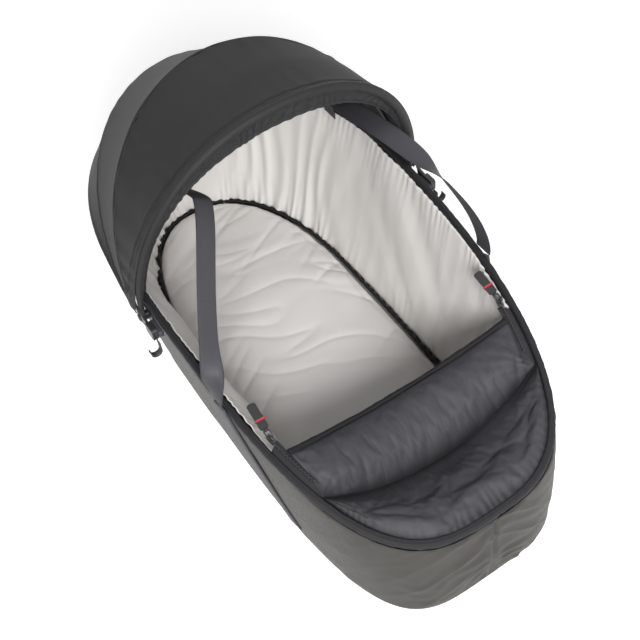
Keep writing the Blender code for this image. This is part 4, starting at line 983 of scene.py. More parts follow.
class CARRYCOT_OT_tub(bpy.types.Operator):
    """Woven cloth of the tub, with the seam up its foot wall."""

    bl_idname = "carrycot.tub"
    bl_label = "Tub"

    def execute(self, context):
        middle = RIM_TRACK.length / 2
        seams = (stitched(middle, width=STITCH_WIDTH * 1.2),
                 stitched(middle + SEAM_STITCH_AWAY), stitched(middle - SEAM_STITCH_AWAY))
        shell = cloth_material("shell_weave", settings().shell_colour, roughness=0.46,
                               pitch=0.0013, weave=0.35, creases=0.40, shade=0.26, gloss=0.22,
                               seams=seams, thread=(0.030, 0.029, 0.028))
        bm = grid(552, 88, tub_point, (RIM_TRACK.length, SHELL_GIRTH), closed_u=True,
                  spread=gathered)
        piece = finished("tub_cloth", bm, shell, "tub")
        thicken(piece, SHELL_THICKNESS)
        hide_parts("outer_shell")
        return {"FINISHED"}


def section_point(track_angle, turn, inset, drop, half_width, half_height, roundness=0.7):
    """A point of a rounded oblong section that runs along the rim."""
    return rim_point(track_angle,
                     inset + half_width * power(math.cos(turn), roundness),
                     drop + half_height * power(math.sin(turn), roundness))


def binding_point(u, v):
    """A point of the rim binding, which ripples most around the foot."""
    distance = u * RIM_TRACK.length
    foot = ebb(abs(distance - RIM_TRACK.length / 2), end=0.60, reach=0.10)
    size = 1 + ripple(distance, v * 3, depth=0.05, wide=0.007, seed=5)
    size += ripple(distance, 0, depth=0.03, wide=0.03, seed=6)
    size += foot * ripple(distance, v * 1.5, depth=0.10, wide=0.0055, seed=8)
    half_width = BINDING_WIDTH / 2
    half_height = BINDING_HEIGHT / 2
    return section_point(RIM_TRACK.angle(u), 2 * math.pi * v, half_width, half_height,
                         half_width * size, half_height * size)


def rim_run(inset, side, foot_y):
    """The stretch of the rim that a zip lies along, from its foot end to its head end."""
    first = angle_at_y(foot_y, side)
    last = angle_at_y(ZIP_END_Y, side)
    return Track(lambda angle: rim_plan(angle, inset), first, last)


class CARRYCOT_OT_binding(bpy.types.Operator):
    """Rim binding, zip tapes and zip teeth."""

    bl_idname = "carrycot.binding"
    bl_label = "Binding and zips"

    def execute(self, context):
        colour = settings().trim_colour
        rows = [stitched(line, pitch=LONG_PITCH) for line in BINDING_STITCHES]
        trim = cloth_material("binding_weave", colour, roughness=0.60, pitch=0.0009,
                              weave=0.3, creases=0.4, shade=0.3, gloss=0.2,
                              stitches=rows, thread=(0.035, 0.035, 0.038))
        girth = (BINDING_WIDTH + BINDING_HEIGHT) * 1.6
        bm = grid(900, 18, binding_point, (RIM_TRACK.length, girth), closed_u=True, closed_v=True)
        piece = finished("binding_band", bm, trim, "tub")
        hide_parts("rim_binding")
        tape = cloth_material("tape_weave", toned(colour, 1.2), roughness=0.6,
                              pitch=0.0008, weave=0.4, shade=0.3)
        teeth = plastic_material("tooth_plastic", (0.030, 0.030, 0.033), 0.45, grain=0.05)
        for side_name, side in (("left", -1), ("right", 1)):
            self.tape(side_name, side, tape)
            self.teeth(side_name, side, teeth)
        return {"FINISHED"}

    def tape(self, side_name, side, material):
        """The woven tape that carries the teeth on one side."""
        half_width = (front_inset() + APRON_EDGE - BINDING_WIDTH) / 2
        inset = BINDING_WIDTH + half_width
        track = rim_run(inset, side, TAPE_FOOT_Y)
        low = TEETH_DROP + TEETH_HEIGHT + TAPE_THICKNESS

        def place(u, v):
            sway = ripple(u * track.length, 0, depth=0.0004, wide=0.012, seed=7)
            return section_point(track.angle(u), 2 * math.pi * v, inset, low + sway,
                                 half_width, TAPE_THICKNESS / 2, TAPE_ROUNDNESS)

        bm = grid(60, 12, place, (track.length, TAPE_WIDTH * 2), closed_v=True)
        fill_ends(bm)
        piece = finished(f"zip_band_{side_name}", bm, material, "tub")
        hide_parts(f"zip_tape_{side_name}")

    def teeth(self, side_name, side, material):
        """A chain of small bevelled teeth that stand out by turns to either hand."""
        inset = BINDING_WIDTH + TAPE_WIDTH + GAP * 2 + TEETH_WIDTH / 2
        track = rim_run(inset, side, ZIP_FOOT_Y)
        drop = TEETH_DROP + TEETH_HEIGHT / 2
        count = int(track.length / settings().tooth_pitch)
        room = (settings().tooth_pitch, TEETH_WIDTH, TEETH_HEIGHT)
        size = [length * share for length, share in zip(room, TOOTH_SHARES)]
        tooth = Matrix.Diagonal((*size, 1.0))
        bm = bmesh.new()
        for place in range(count):
            angle = track.angle((place + 0.5) / count)
            centre = rim_point(angle, inset, drop)
            ahead = (rim_point(angle + TOOTH_STEP, inset, drop) - centre).normalized()
            across = outward(angle)
            up = across.cross(ahead).normalized()
            hand = 1 if place % 2 else -1
            turn = Matrix((ahead, across, up)).transposed().to_4x4()
            turn.translation = centre + across * (hand * TEETH_WIDTH * TOOTH_STAGGER_SHARE)
            bmesh.ops.create_cube(bm, size=1.0, matrix=turn @ tooth)
        bmesh.ops.bevel(bm, geom=bm.edges[:], offset=TOOTH_EDGE, offset_type="OFFSET",
                        segments=1, profile=0.5, affect="EDGES", material=-1)
        piece = finished(f"zip_chain_{side_name}", bm, material, "tub")
        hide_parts(f"zip_teeth_{side_name}")


# Lining and mattress

def liner_plan(angle, share, inset):
    """A point of the lining's outline at a share of its height."""
    top = LINER_TOP_INSET
    return plan_point(angle,
                      mix(LINER_LOW_HALF_WIDTH, RIM_HALF_WIDTH - top, share) - inset,
                      mix(LINER_LOW_HEAD, HEAD_REACH - top, share) - inset,
                      mix(LINER_LOW_FOOT, FOOT_REACH - top, share) - inset,
                      mix(LOW_HEAD_ROUNDNESS, HEAD_ROUNDNESS, share),
                      mix(LOW_FOOT_ROUNDNESS, FOOT_ROUNDNESS, share))


def lining_fold(distance, share):
    """How far the lining stands in: gathers at both edges and broad folds between."""
    total = RIM_TRACK.length
    head = ebb(min(distance, total - distance), end=0.40, reach=0.22)
    half = 1 if distance < total / 2 else -1
    slide = distance + 0.16 * (share - 0.5) * half * (1 - 0.8 * head)
    broad = 0.5 + ripple(slide, share * 0.8, wide=0.120, seed=11)
    broad += ripple(slide, share * 1.1, depth=0.45, wide=0.045, seed=12)
    broad += ripple(distance, share * 2.6, depth=0.16, wide=0.020, seed=16)
    broad = min(1.2, max(0.0, broad)) * swell(min(0.98, 0.05 + share * 0.9)) ** 0.5
    turns = distance / PLEAT_PITCH + ripple(distance, share * 0.9, depth=1.9, wide=0.12, seed=13)
    pleat = pleats(turns) ** 1.3
    pleat *= 0.65 + ripple(distance, share * 1.2, depth=0.55, wide=0.05, seed=17)
    turns = distance / LOW_GATHER_PITCH + ripple(distance, share, depth=1.4, wide=0.05, seed=18)
    low = fade(share, reach=0.16) * pleats(turns)
    turns = distance / RIM_GATHER_PITCH + ripple(distance, 0, depth=1.6, wide=0.04, seed=14)
    fine = pleats(turns) * (0.6 + ripple(distance, 0, depth=0.5, wide=0.02, seed=15))
    high = fade(1 - share, reach=0.09) * fine
    folds = 0.95 * broad * (1 - 0.45 * head) + 0.85 * head * pleat * (1 - share) ** 0.5
    folds += 0.42 * low * (0.25 + 0.75 * head) + 0.30 * high
    return settings().fold_depth * folds


def lining_bulge(angle, share):
    """The loose lining of the left wall hangs in over the edge of the mattress."""
    x, y = liner_plan(angle, 1.0, 0.0)
    left = rise(-x, start=0.09, reach=0.06) * rise(y, start=-0.21, reach=0.06)
    return LINER_BULGE * left * bump(share - 0.68, 0.22)


class CARRYCOT_OT_lining(bpy.types.Operator):
    """Gathered lining of the walls."""

    bl_idname = "carrycot.lining"
    bl_label = "Lining"

    def execute(self, context):
        def place(u, v):
            angle = RIM_TRACK.angle(u)
            inset = LINER_CLEARANCE + lining_fold(u * RIM_TRACK.length, v) + lining_bulge(angle, v)
            x, y = liner_plan(angle, v, inset)
            drop = BINDING_HEIGHT * LINER_UNDER_BINDING_SHARE
            top = rim_height(liner_plan(angle, 1.0, inset)[1]) - drop
            return Vector((x, y, mix(LINER_LOW_HEIGHT - LINER_TUCK, top, v)))

        soft = cloth_material("lining_weave", settings().lining_colour, roughness=0.85,
                              pitch=0.0008, weave=0.12, creases=0.30, shade=0.035, sheen=0.1,
                              shade_scale=9.0, bump_distance=0.0005)
        bm = grid(1040, 46, place, (RIM_TRACK.length, LINER_GIRTH), closed_u=True)
        piece = finished("lining_cloth", bm, soft, "tub")
        thicken(piece, LINER_THICKNESS, 1.0)
        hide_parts("lining")
        return {"FINISHED"}


def mattress_plan(angle, inset=0.0):
    """A point of the mattress's outline, or of a line inside it."""
    return plan_point(angle, MATTRESS_HALF_WIDTH - inset, MATTRESS_HEAD - inset,
                      MATTRESS_FOOT - inset, LOW_HEAD_ROUNDNESS, LOW_FOOT_ROUNDNESS)


MATTRESS_TRACK = Track(mattress_plan, -math.pi, math.pi)


def mattress_wrinkle(x, y):
    """Soft wrinkles that run across the mattress, and slanting drag lines near its edges."""
    slide = y + 0.30 * x + ripple(x, y, depth=0.030, wide=0.10, tall=0.10, seed=21)
    height = ripple(slide, x, depth=0.6, wide=0.055, tall=0.22, seed=22)
    height -= 0.40 * crease(slide / 0.040, x / 0.16, 23, 3.0)
    edge = max(abs(x) / MATTRESS_HALF_WIDTH, abs(y) / MATTRESS_HEAD)
    lines = crease((y - 0.55 * x) / 0.034, x / 0.20, 25, 2.2)
    near_edge = rise(edge, start=0.35, reach=0.5) * ebb(edge, end=1.02, reach=0.06)
    height -= 0.75 * lines * near_edge
    return settings().wrinkle_depth * height


def mattress_point(u, v):
    """A point of the mattress before it is stuffed: underside first, then side, then top."""
    angle = MATTRESS_TRACK.angle(u)
    side_end = UNDERSIDE_SHARE + SIDE_SHARE
    inset = PIPING_RADIUS * 0.5
    if v < UNDERSIDE_SHARE:
        x, y = mattress_plan(angle, inset)
        share = v / UNDERSIDE_SHARE
        return Vector((x * share, y * share, MATTRESS_LOW))
    if v < side_end:
        share = (v - UNDERSIDE_SHARE) / SIDE_SHARE
        x, y = mattress_plan(angle, inset - MATTRESS_SIDE_BULGE * swell(share))
        return Vector((x, y, mix(MATTRESS_LOW, MATTRESS_EDGE, share)))
    scale = max(0.0, 1 - (v - side_end) / (1 - side_end))
    x, y = mattress_plan(angle, inset)
    height = MATTRESS_EDGE + MATTRESS_CROWN * (1 - scale ** 2.8)
    return Vector((x * scale, y * scale, height))


def piping_point(u, v):
    """A point of the mattress's black edge, which is gathered by its elastic."""
    distance = u * MATTRESS_TRACK.length
    turn = 2 * math.pi * v
    gather = pleats(distance / PIPING_PITCH + ripple(distance, 0, depth=0.7, wide=0.05, seed=24))
    radius = PIPING_RADIUS * (0.85 + 0.45 * gather)
    inset = PIPING_RADIUS + radius * math.cos(turn) - PIPING_SWAY * gather
    x, y = mattress_plan(MATTRESS_TRACK.angle(u), inset)
    return Vector((x, y, MATTRESS_EDGE + PIPING_RAISE + radius * 0.9 * math.sin(turn)))


class CARRYCOT_OT_mattress(bpy.types.Operator):
    """Mattress with its black gathered edge."""

    bl_idname = "carrycot.mattress"
    bl_label = "Mattress"

    def execute(self, context):
        bm = grid(220, 60, mattress_point, (MATTRESS_TRACK.length, MATTRESS_GIRTH), closed_u=True)
        bm = puffed(bm, pressure=3.0, cap=0.005, voxel=0.005)
        bmesh.ops.subdivide_edges(bm, edges=bm.edges, cuts=1, use_grid_fill=True)
        for vert in bm.verts:
            up = rise(vert.co.z, start=MATTRESS_EDGE, reach=MATTRESS_CROWN * 0.5)
            vert.co.z += mattress_wrinkle(vert.co.x, vert.co.y) * up
        cover_cloth = cloth_material("mattress_weave", settings().mattress_colour,
                                     roughness=0.88, pitch=0.0009, weave=0.12, creases=0.30,
                                     shade=0.05, sheen=0.1, object_space=True, shade_scale=8.0)
        piece = finished("mattress_pad", bm, cover_cloth, "mattress")
        refine(piece)
        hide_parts("mattress")

        elastic = cloth_material("elastic_weave", (0.008, 0.008, 0.009), roughness=0.7,
                                 pitch=0.0010, weave=0.6, shade=0.3)
        bm = grid(700, 10, piping_point, (MATTRESS_TRACK.length, PIPING_GIRTH), closed_u=True,
                  closed_v=True)
        piece = finished("mattress_edge", bm, elastic, "mattress")
        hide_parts("mattress_piping")
        return {"FINISHED"}


# Hood

FRONT_TRACK = arc_track(FRONT_ARC, CLOTH_START)
MIDDLE_TRACK = arc_track(MIDDLE_ARC, CLOTH_START)
REAR_TRACK = arc_track(REAR_ARC, CLOTH_START)
HEM_START = angle_at_y(PIVOT_Y + CLOTH_START)
HEM_TRACK = Track(rim_plan, HEM_START, 2 * math.pi - HEM_START)


def hem_point(angle):
    """The hood's rear edge rises from the pivots, then lies outside the binding."""
    point = rim_point(angle, -HEM_PROUD, HEM_DROP)
    share = rise(point.y, start=PIVOT_Y + CLOTH_START, reach=HEM_RISE_REACH)
    low = Vector((math.copysign(REAR_ARC[0], point.x), point.y, PIVOT_HEIGHT))
    return cover(low.lerp(point, share))


def toward_pivot(point):
    """The direction in which the hood's cloth sinks."""
    return Vector((-point.x, PIVOT_Y - point.y, PIVOT_HEIGHT - point.z)).normalized()


def seam_dip(distance):
    """Cloth turns in at a sewn seam, with a fold on each side of it."""
    fold = SIDE_FOLD * bump(abs(distance) - SIDE_FOLD_AWAY, SIDE_FOLD_WIDTH)
    return SEAM_DIP * bump(distance, SEAM_DIP_WIDTH) - fold


def front_sheet_point(u, v):
    """A point of the front panel, from the front bow to the middle one."""
    start = arc_point(FRONT_ARC, FRONT_TRACK.angle(u), 0.0, -SLEEVE_RADIUS * 0.2)
    end = arc_point(MIDDLE_ARC, MIDDLE_TRACK.angle(u))
    point = cover(start.lerp(end, v))
    side = math.sin(math.pi * u)
    across = v * FRONT_PANEL_DEPTH * side
    to_seam = FRONT_PANEL_DEPTH * side - across
    along = u * FRONT_TRACK.length
    free = rise(across, reach=0.012)
    sink = HOOD_SAG * swell(v) * side
    sink += ripple(along, across, depth=0.0020, wide=0.16, tall=0.05, seed=31) * free
    slide = along + across * 0.3
    sink += ripple(slide, across, depth=0.0012, wide=0.05, tall=0.09, seed=32) * side * free
    pull = free * (fade(across, reach=0.03) + fade(to_seam, reach=0.03))
    sink += 0.0007 * pull * wave(along / 0.034 + ripple(along, 0, wide=0.08, seed=33))
    sink += seam_dip(to_seam) + 0.8 * seam_dip(across - FRONT_STITCH)
    return point + toward_pivot(point) * sink


def back_sheet_point(u, v):
    """A point of the second and rear panels, one sheet from the middle bow to the hem."""
    between = cover(arc_point(REAR_ARC, REAR_TRACK.angle(u)))
    side = math.sin(math.pi * u)
    if v < SECOND_PANEL_SHARE:
        share = v / SECOND_PANEL_SHARE
        point = cover(arc_point(MIDDLE_ARC, MIDDLE_TRACK.angle(u))).lerp(between, share)
        across = share * SECOND_PANEL_DEPTH * side
        to_seam = (1 - share) * SECOND_PANEL_DEPTH * side
        sink = HOOD_SAG * swell(share) * side + seam_dip(across)
    else:
        share = (v - SECOND_PANEL_SHARE) / (1 - SECOND_PANEL_SHARE)
        point = between.lerp(hem_point(HEM_TRACK.angle(u)), share)
        across = (SECOND_PANEL_DEPTH + share * REAR_PANEL_DEPTH) * side
        to_seam = -share * REAR_PANEL_DEPTH * side
        to_hem = (1 - share) * REAR_PANEL_DEPTH * side
        sink = -0.0010 * bump(to_hem - HEM_STITCH, 0.0016)
    along = u * MIDDLE_TRACK.length
    sink += ripple(along, across, depth=0.0010, wide=0.11, tall=0.06, seed=34) * side
    slide = along + across * 0.315
    sink += ripple(slide, across, depth=0.0006, wide=0.035, tall=0.10, seed=35) * side
    pull = 0.0003 * fade(abs(to_seam), reach=0.022)
    sink += pull * wave(along / 0.027 + ripple(along, 0, wide=0.06, seed=36))
    sink += seam_dip(to_seam)
    return point + toward_pivot(point) * sink


class CARRYCOT_OT_hood(bpy.types.Operator):
    """Hood cloth, the channel of its front bow, and the gathered elastic edge."""

    bl_idname = "carrycot.hood"
    bl_label = "Hood"

    def execute(self, context):
        self.front_sheet()
        self.back_sheet()
        self.sleeve()
        self.ruffle()
        return {"FINISHED"}

    def front_sheet(self):
        """The panel in front of the middle bow."""
        seam = stitched(FRONT_PANEL_DEPTH - 0.0018, width=0.0024)
        edge = stitched(FRONT_STITCH, pitch=LONG_PITCH)
        cloth = cloth_material("hood_weave", settings().hood_colour, roughness=0.55,
                               pitch=0.0012, weave=0.30, creases=0.40, shade=0.40, gloss=0.14,
                               stitches=(seam, edge), thread=(0.008, 0.008, 0.009))
        bm = grid(260, 70, front_sheet_point, (FRONT_TRACK.length, FRONT_PANEL_DEPTH))
        piece = finished("hood_front_cloth", bm, cloth, None, UPWARD)
        thicken(piece, HOOD_THICKNESS)
        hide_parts("canopy_front")
        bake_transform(piece)

    def back_sheet(self):
        """The panels behind the middle bow, as one sheet."""
        start = stitched(0.0012, width=0.0016)
        seam = stitched(BACK_GIRTH * SECOND_PANEL_SHARE, width=0.0020)
        cloth = cloth_material("hood_back_weave", toned(settings().hood_colour, 0.95),
                               roughness=0.52, pitch=0.0012, weave=0.30, creases=0.30,
                               shade=0.20, gloss=0.16, stitches=(start, seam),
                               thread=(0.006, 0.006, 0.006))
        bm = grid(260, 110, back_sheet_point, (MIDDLE_TRACK.length, BACK_GIRTH))
        piece = finished("hood_back_cloth", bm, cloth, None, UPWARD)
        thicken(piece, HOOD_THICKNESS)
        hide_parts("canopy_middle", "canopy_rear")
        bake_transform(piece)

    def sleeve(self):
        """The channel of cloth round the front bow."""
        arc = (FRONT_BOW_HALF_WIDTH, FRONT_ARC[1] - SLEEVE_RADIUS, *FRONT_ARC[2:])
        track = arc_track(arc, SLEEVE_START)

        def place(u, v):
            distance = u * track.length
            turn = 2 * math.pi * v
            end = rise(min(u, 1 - u) * track.length, reach=0.05)
            radius = SLEEVE_RADIUS * (1 + ripple(distance, v * 2, depth=0.05, wide=0.008, seed=41))
            radius *= mix(0.62, 1.0, end)
            return arc_point(arc, track.angle(u), -radius * math.cos(turn),
                             radius * 0.95 * math.sin(turn))

        cloth = cloth_material("sleeve_weave", toned(settings().hood_colour, 0.95),
                               roughness=0.52, pitch=0.0012, weave=0.3, creases=0.3, shade=0.18,
                               gloss=0.18, stitches=(stitched(SLEEVE_STITCH, pitch=0.0034),),
                               thread=(0.03, 0.03, 0.032))
        girth = 2 * math.pi * SLEEVE_RADIUS
        bm = grid(360, 16, place, (track.length, girth), closed_v=True)
        fill_ends(bm)
        piece = finished("hood_channel", bm, cloth, "hood_front")
        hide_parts("hood_sleeve")

    def ruffle(self):
        """The gathered elastic edge inside the front bow."""
        arc = (FRONT_BOW_HALF_WIDTH - SLEEVE_RADIUS * 0.7, FRONT_ARC[1] - SLEEVE_RADIUS * 1.8,
               *FRONT_ARC[2:])
        track = arc_track(arc, RUFFLE_START)

        def place(u, v):
            angle = track.angle(u)
            distance = u * track.length
            width = mix(RUFFLE_SIDE_WIDTH, RUFFLE_WIDTH, math.sin(angle) ** 3)
            turns = distance / RUFFLE_PITCH
            turns += ripple(distance, v * 0.6, depth=1.6, wide=0.035, seed=42)
            height = wave(turns) * (0.5 + ripple(distance, v, depth=0.6, wide=0.02, seed=43))
            height += ripple(distance, v * 1.5, depth=0.7, wide=0.009, seed=44)
            lift = settings().ruffle_wave * height * swell(v * 0.94) * min(1.0, width / 0.012)
            pucker = ripple(distance, 0, depth=0.0006, wide=0.012, seed=45)
            pucker *= rise(v, start=0.4, reach=0.6)
            roll = RUFFLE_ROLL * math.sin(math.pi * v)
            return arc_point(arc, angle, v * width + pucker, lift + roll)

        cloth = cloth_material("ruffle_weave", toned(settings().hood_colour, 1.25),
                               roughness=0.60, pitch=0.0010, weave=0.3, creases=0.5, shade=0.30,
                               gloss=0.12, stitches=(stitched(RUFFLE_STITCH),),
                               thread=(0.02, 0.02, 0.02))
        bm = grid(900, 16, place, (track.length, RUFFLE_GIRTH))
        piece = finished("hood_gathers", bm, cloth, "hood_front", UPWARD)
        thicken(piece, RUFFLE_THICKNESS)
        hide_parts("hood_ruffle")


# Apron

def front_inset():
    """How far the front panel lies inside the rim, beside the zip."""
    return BINDING_WIDTH + TAPE_WIDTH + TEETH_WIDTH + GAP * 3 + SLIDER_ROOM


def foot_inset():
    """How far the foot panel lies inside the rim."""
    return BINDING_WIDTH + GAP


def end_inset(y):
    """The front panel's ends reach the binding beyond the foot end of the zip."""
    share = smooth((FLARE_Y - y) / (FLARE_Y - CREASE_Y))
    return mix(front_inset(), foot_inset(), share)


def edge_drop():
    """How far the apron's edge lies below the rim."""
    return TEETH_DROP + TEETH_HEIGHT / 2


def apron_edge(angle):
    """A point of the apron's edge along the binding."""
    return rim_point(angle, foot_inset(), edge_drop())


def side_x(y, inset):
    """How far out a line inside the rim lies at a place along the cot."""
    ratio = (WIDEST_AT - y) / (FOOT_REACH - inset + WIDEST_AT)
    half_width = RIM_HALF_WIDTH - inset
    return half_width * (1.0 - ratio ** FOOT_ROUNDNESS) ** (1.0 / FOOT_ROUNDNESS)


def edge_height(y):
    """The height of the apron's edge at a place along the cot."""
    return rim_height(y) - edge_drop()


def sewn_dip(across):
    """How far the crease lies below the apron's middle surface."""
    return CREASE_DIP * (1 - across ** 6)


def crease_height(across):
    """The height of the sewn crease at a share of its half width."""
    return edge_height(CREASE_Y) - APRON_SAG * (1 - across ** 2) - sewn_dip(across)


def crease_y(x):
    """The sewn crease bows towards the foot between its ends."""
    return CREASE_Y - CREASE_BOW * max(0.0, 1 - (x / side_x(CREASE_Y, foot_inset())) ** 2)


def front_centre(across, along):
    """The middle surface of the front panel, from its hem to the crease."""
    hem = HEM_SIDE_Y + HEM_BOW * (1 - across ** 2) - HEM_ROLL_RADIUS * 2 - GAP
    y_side = mix(HEM_SIDE_Y - HEM_ROLL_RADIUS * 2 - GAP, CREASE_Y + CREASE_GAP / 2, along)
    bow = CREASE_BOW * (1 - across ** 2)
    y = mix(hem, CREASE_Y + CREASE_GAP / 2 - bow, along)
    half = side_x(y_side, end_inset(y_side))
    share = across * mix(1.0, half / side_x(y_side, foot_inset()), along)
    height = edge_height(y_side) - APRON_SAG * (1 - share ** 2) - sewn_dip(share) * along ** 3
    height -= CREASE_HANG * (1 - across ** 2) * max(0.0, along) ** 1.5
    return Vector((half * across, y, height))


def foot_centre(across, along):
    """The middle surface of the foot panel, from the crease to the binding."""
    y = CREASE_Y - CREASE_GAP / 2
    hang = 1 - across ** 2
    near = Vector((side_x(y, foot_inset()) * across, y - CREASE_BOW * hang,
                   crease_height(across) - CREASE_HANG * hang))
    return near.lerp(apron_edge(FOOT_TRACK.angle(0.5 + across / 2)), along)


FOOT_START = angle_at_y(CREASE_Y - CREASE_GAP / 2 - APRON_CORNER, 1, apron_edge)
FOOT_TRACK = Track(lambda angle: apron_edge(angle)[:], -FOOT_START, FOOT_START)


def full(along):
    """The swell of the front panel, which stands up steeply from both seams."""
    return (1 - (2 * along - 1) ** 2) ** 0.65


def sloping(along):
    """The swell of the foot panel, which rises slowly from the crease."""
    return math.sin(math.pi * along ** 1.35)


def padded_panel(centre_at, profile, thickness, columns, rows):
    """A stuffed panel: the grid wraps round it, top first, then back underneath."""
    def place(u, v):
        across = 2 * u - 1
        top = v < 0.5
        along = v * 2 if top else 2 - v * 2
        across = max(-NEARLY_WHOLE, min(NEARLY_WHOLE, across))
        along = max(0.0, min(1.0, along))
        swollen = (1 - across ** 4) ** 0.6 * profile(along)
        half = APRON_EDGE + (thickness if top else UNDERSIDE_PAD) * swollen
        point = centre_at(across, mix(-SEAM_LAP, 1 + SEAM_LAP, along))
        return point + Vector((0, 0, half if top else -half))

    bm = grid(columns, rows * 2, place, PANEL_CLOTH, closed_v=True)
    fill_ends(bm)
    return bm


def half_width_at(y, foot_y):
    """Half the apron's width at a place between its hem and a given foot end."""
    return max(0.02, side_x(max(foot_y, min(-0.1, y)), foot_inset()))


def edge_distance(point):
    """How far a point of the apron lies inside its sewn or zipped edge."""
    ratio = min(1.0, abs(point.x) / half_width_at(point.y, -0.36))
    side = (1 - ratio) * 0.15
    foot = FOOT_REACH - foot_inset() + point.y
    return max(0.0, min(side, foot))


def front_sewn(point):
    """The front panel is held at its hem, at the crease and at both ends."""
    hem = HEM_SIDE_Y + HEM_BOW - HEM_ROLL_RADIUS * 2
    from_hem = max(0.0, hem - point.y)
    from_crease = max(0.0, point.y - crease_y(point.x))
    nearest = min(from_hem, from_crease, max(0.0, edge_distance(point) - 0.008))
    return 1.0 - rise(nearest, start=0.002, reach=0.007)


def foot_sewn(point):
    """The foot panel is held at the crease and all along the binding."""
    from_crease = max(0.0, crease_y(point.x) - point.y)
    nearest = min(from_crease * 0.35, edge_distance(point))
    return 1.0 - rise(nearest, start=0.001, reach=0.007)


def apron_crumple(point, from_crease, seed):
    """Creases that start at the sewn lines and at the ends of the crease."""
    x = point.x
    y = point.y
    total = ripple(x, y, depth=0.34, wide=0.060, tall=0.030, seed=seed)
    tuck = crease(x / 0.021 + y * 8, y / 0.15, seed + 1, 2.5)
    total -= 0.30 * tuck * fade(from_crease, reach=0.016)
    tuck = crease(x / 0.040 - y * 12, y / 0.20, seed + 2)
    total -= 0.36 * tuck * fade(from_crease, reach=0.040)
    end = Vector((math.copysign(side_x(CREASE_Y, foot_inset()), x), CREASE_Y))
    from_end = (Vector((x, y)) - end).length
    spoke = math.atan2(y - CREASE_Y, end.x - x)
    fan = crease(spoke / 0.42, from_end / 0.30, seed + 3, 1.6)
    total -= 0.55 * fan * fade(from_end, reach=0.055) * rise(from_end, reach=0.012)
    return settings().apron_crumple * total


class CARRYCOT_OT_apron(bpy.types.Operator):
    """Padded apron in two panels, with a rolled hem."""

    bl_idname = "carrycot.apron"
    bl_label = "Apron"

    def execute(self, context):
        colour = settings().apron_colour
        # The apron's darker second colour is painted shade, for the sewn crease and for the
        # gathered edge by the binding.
        cloth = cloth_material("apron_weave", colour, roughness=0.52, pitch=0.0009, weave=0.20,
                               creases=0.30, shade=0.14, object_space=True, shade_scale=10.0,
                               bump_distance=0.0005, gloss=0.28, painted_shade=toned(colour, 0.30))
        bm = padded_panel(front_centre, full, FRONT_PAD * 1.1, columns=150, rows=30)
        bm = puffed(bm, pressure=4.0, cap=0.007, sewn=front_sewn, spare=0.03)
        self.crumple(bm, seed=51, strength=1.4, gather=0.0)
        piece = finished("apron_front_pad", bm, cloth, None)
        refine(piece)
        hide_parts("apron_front")
        height = crease_height(0.0)
        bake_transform(piece)

        bm = padded_panel(foot_centre, sloping, FOOT_PAD * 1.8, columns=160, rows=44)
        bm = puffed(bm, pressure=4.0, cap=0.007, sewn=foot_sewn, spare=0.03)
        self.crumple(bm, seed=61, strength=0.9, gather=0.0008)
        piece = finished("apron_foot_pad", bm, cloth, "tub")
        refine(piece)
        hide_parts("apron_foot")
        self.hem()
        return {"FINISHED"}

    def crumple(self, bm, seed, strength, gather):
        """Crumple the upper side, with gathers of a given depth along the sewn edge."""
        # A mask for painted shade: darker in the sewn crease, and along the gathered edge by the
        # binding.
        painted_shade = bm.verts.layers.float.new("painted_shade")
        for vert in bm.verts:
            point = vert.co
            from_crease = abs(point.y - crease_y(point.x))
            from_edge = edge_distance(point)
            hang = 1 - min(1.0, (point.x / half_width_at(point.y, -0.34)) ** 2)
            middle = edge_height(point.y) - APRON_SAG * hang
            middle -= CREASE_HANG * hang * ebb(from_crease, end=0.09, reach=0.09)
            top = rise(point.z - middle, start=-0.006, reach=0.006)
            lift = strength * apron_crumple(point, from_crease, seed)
            along = math.atan2(point.x, -(point.y + 0.18)) * 0.19
            turns = along / 0.0105 + ripple(along, 0, depth=1.5, wide=0.04, seed=seed + 5)
            near_edge = fade(from_edge, reach=0.012) * rise(from_crease, reach=0.03)
            vert.co.z += top * (lift + gather * wave(turns) * near_edge)
            # Painted shade is strongest at the crease and, where there are gathers, at the sewn
            # edge.
            edge = bump(from_edge, 0.0065) if gather else 0.0
            vert[painted_shade] = max(edge, bump(from_crease, 0.008))

    def hem(self):
        """The rolled hem along the front panel."""
        def place(u, v):
            distance = u * HEM_ROLL_LENGTH
            sway = ripple(distance, 0, depth=0.0012, wide=0.045, seed=73)
            point = front_centre(2 * u - 1, 0.0) + Vector((0, HEM_ROLL_RADIUS + GAP, sway))
            turn = 2 * math.pi * v
            size = 0.98 + ripple(distance, v * 2, depth=0.10, wide=0.010, seed=71)
            size += ripple(distance, v, depth=0.12, wide=0.040, seed=72)
            radius = HEM_ROLL_RADIUS * size
            return point + Vector((0, radius * math.cos(turn), radius * 0.92 * math.sin(turn)))

        girth = 2 * math.pi * HEM_ROLL_RADIUS
        # The hem's colour is the apron's at 0.45: painted shade for a roll that faces away from
        # the light.
        cloth = cloth_material("apron_hem_weave", toned(settings().apron_colour, 0.45),
                               roughness=0.60, pitch=0.0009, weave=0.20, creases=0.40,
                               shade=0.16, gloss=0.12, stitches=(stitched(girth * 0.36),),
                               thread=(0.020, 0.020, 0.022))
        bm = grid(260, 16, place, (HEM_ROLL_LENGTH, girth), closed_v=True)
        fill_ends(bm)
        piece = finished("apron_roll", bm, cloth, "apron_front")
        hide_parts("apron_hem")


# Webbing

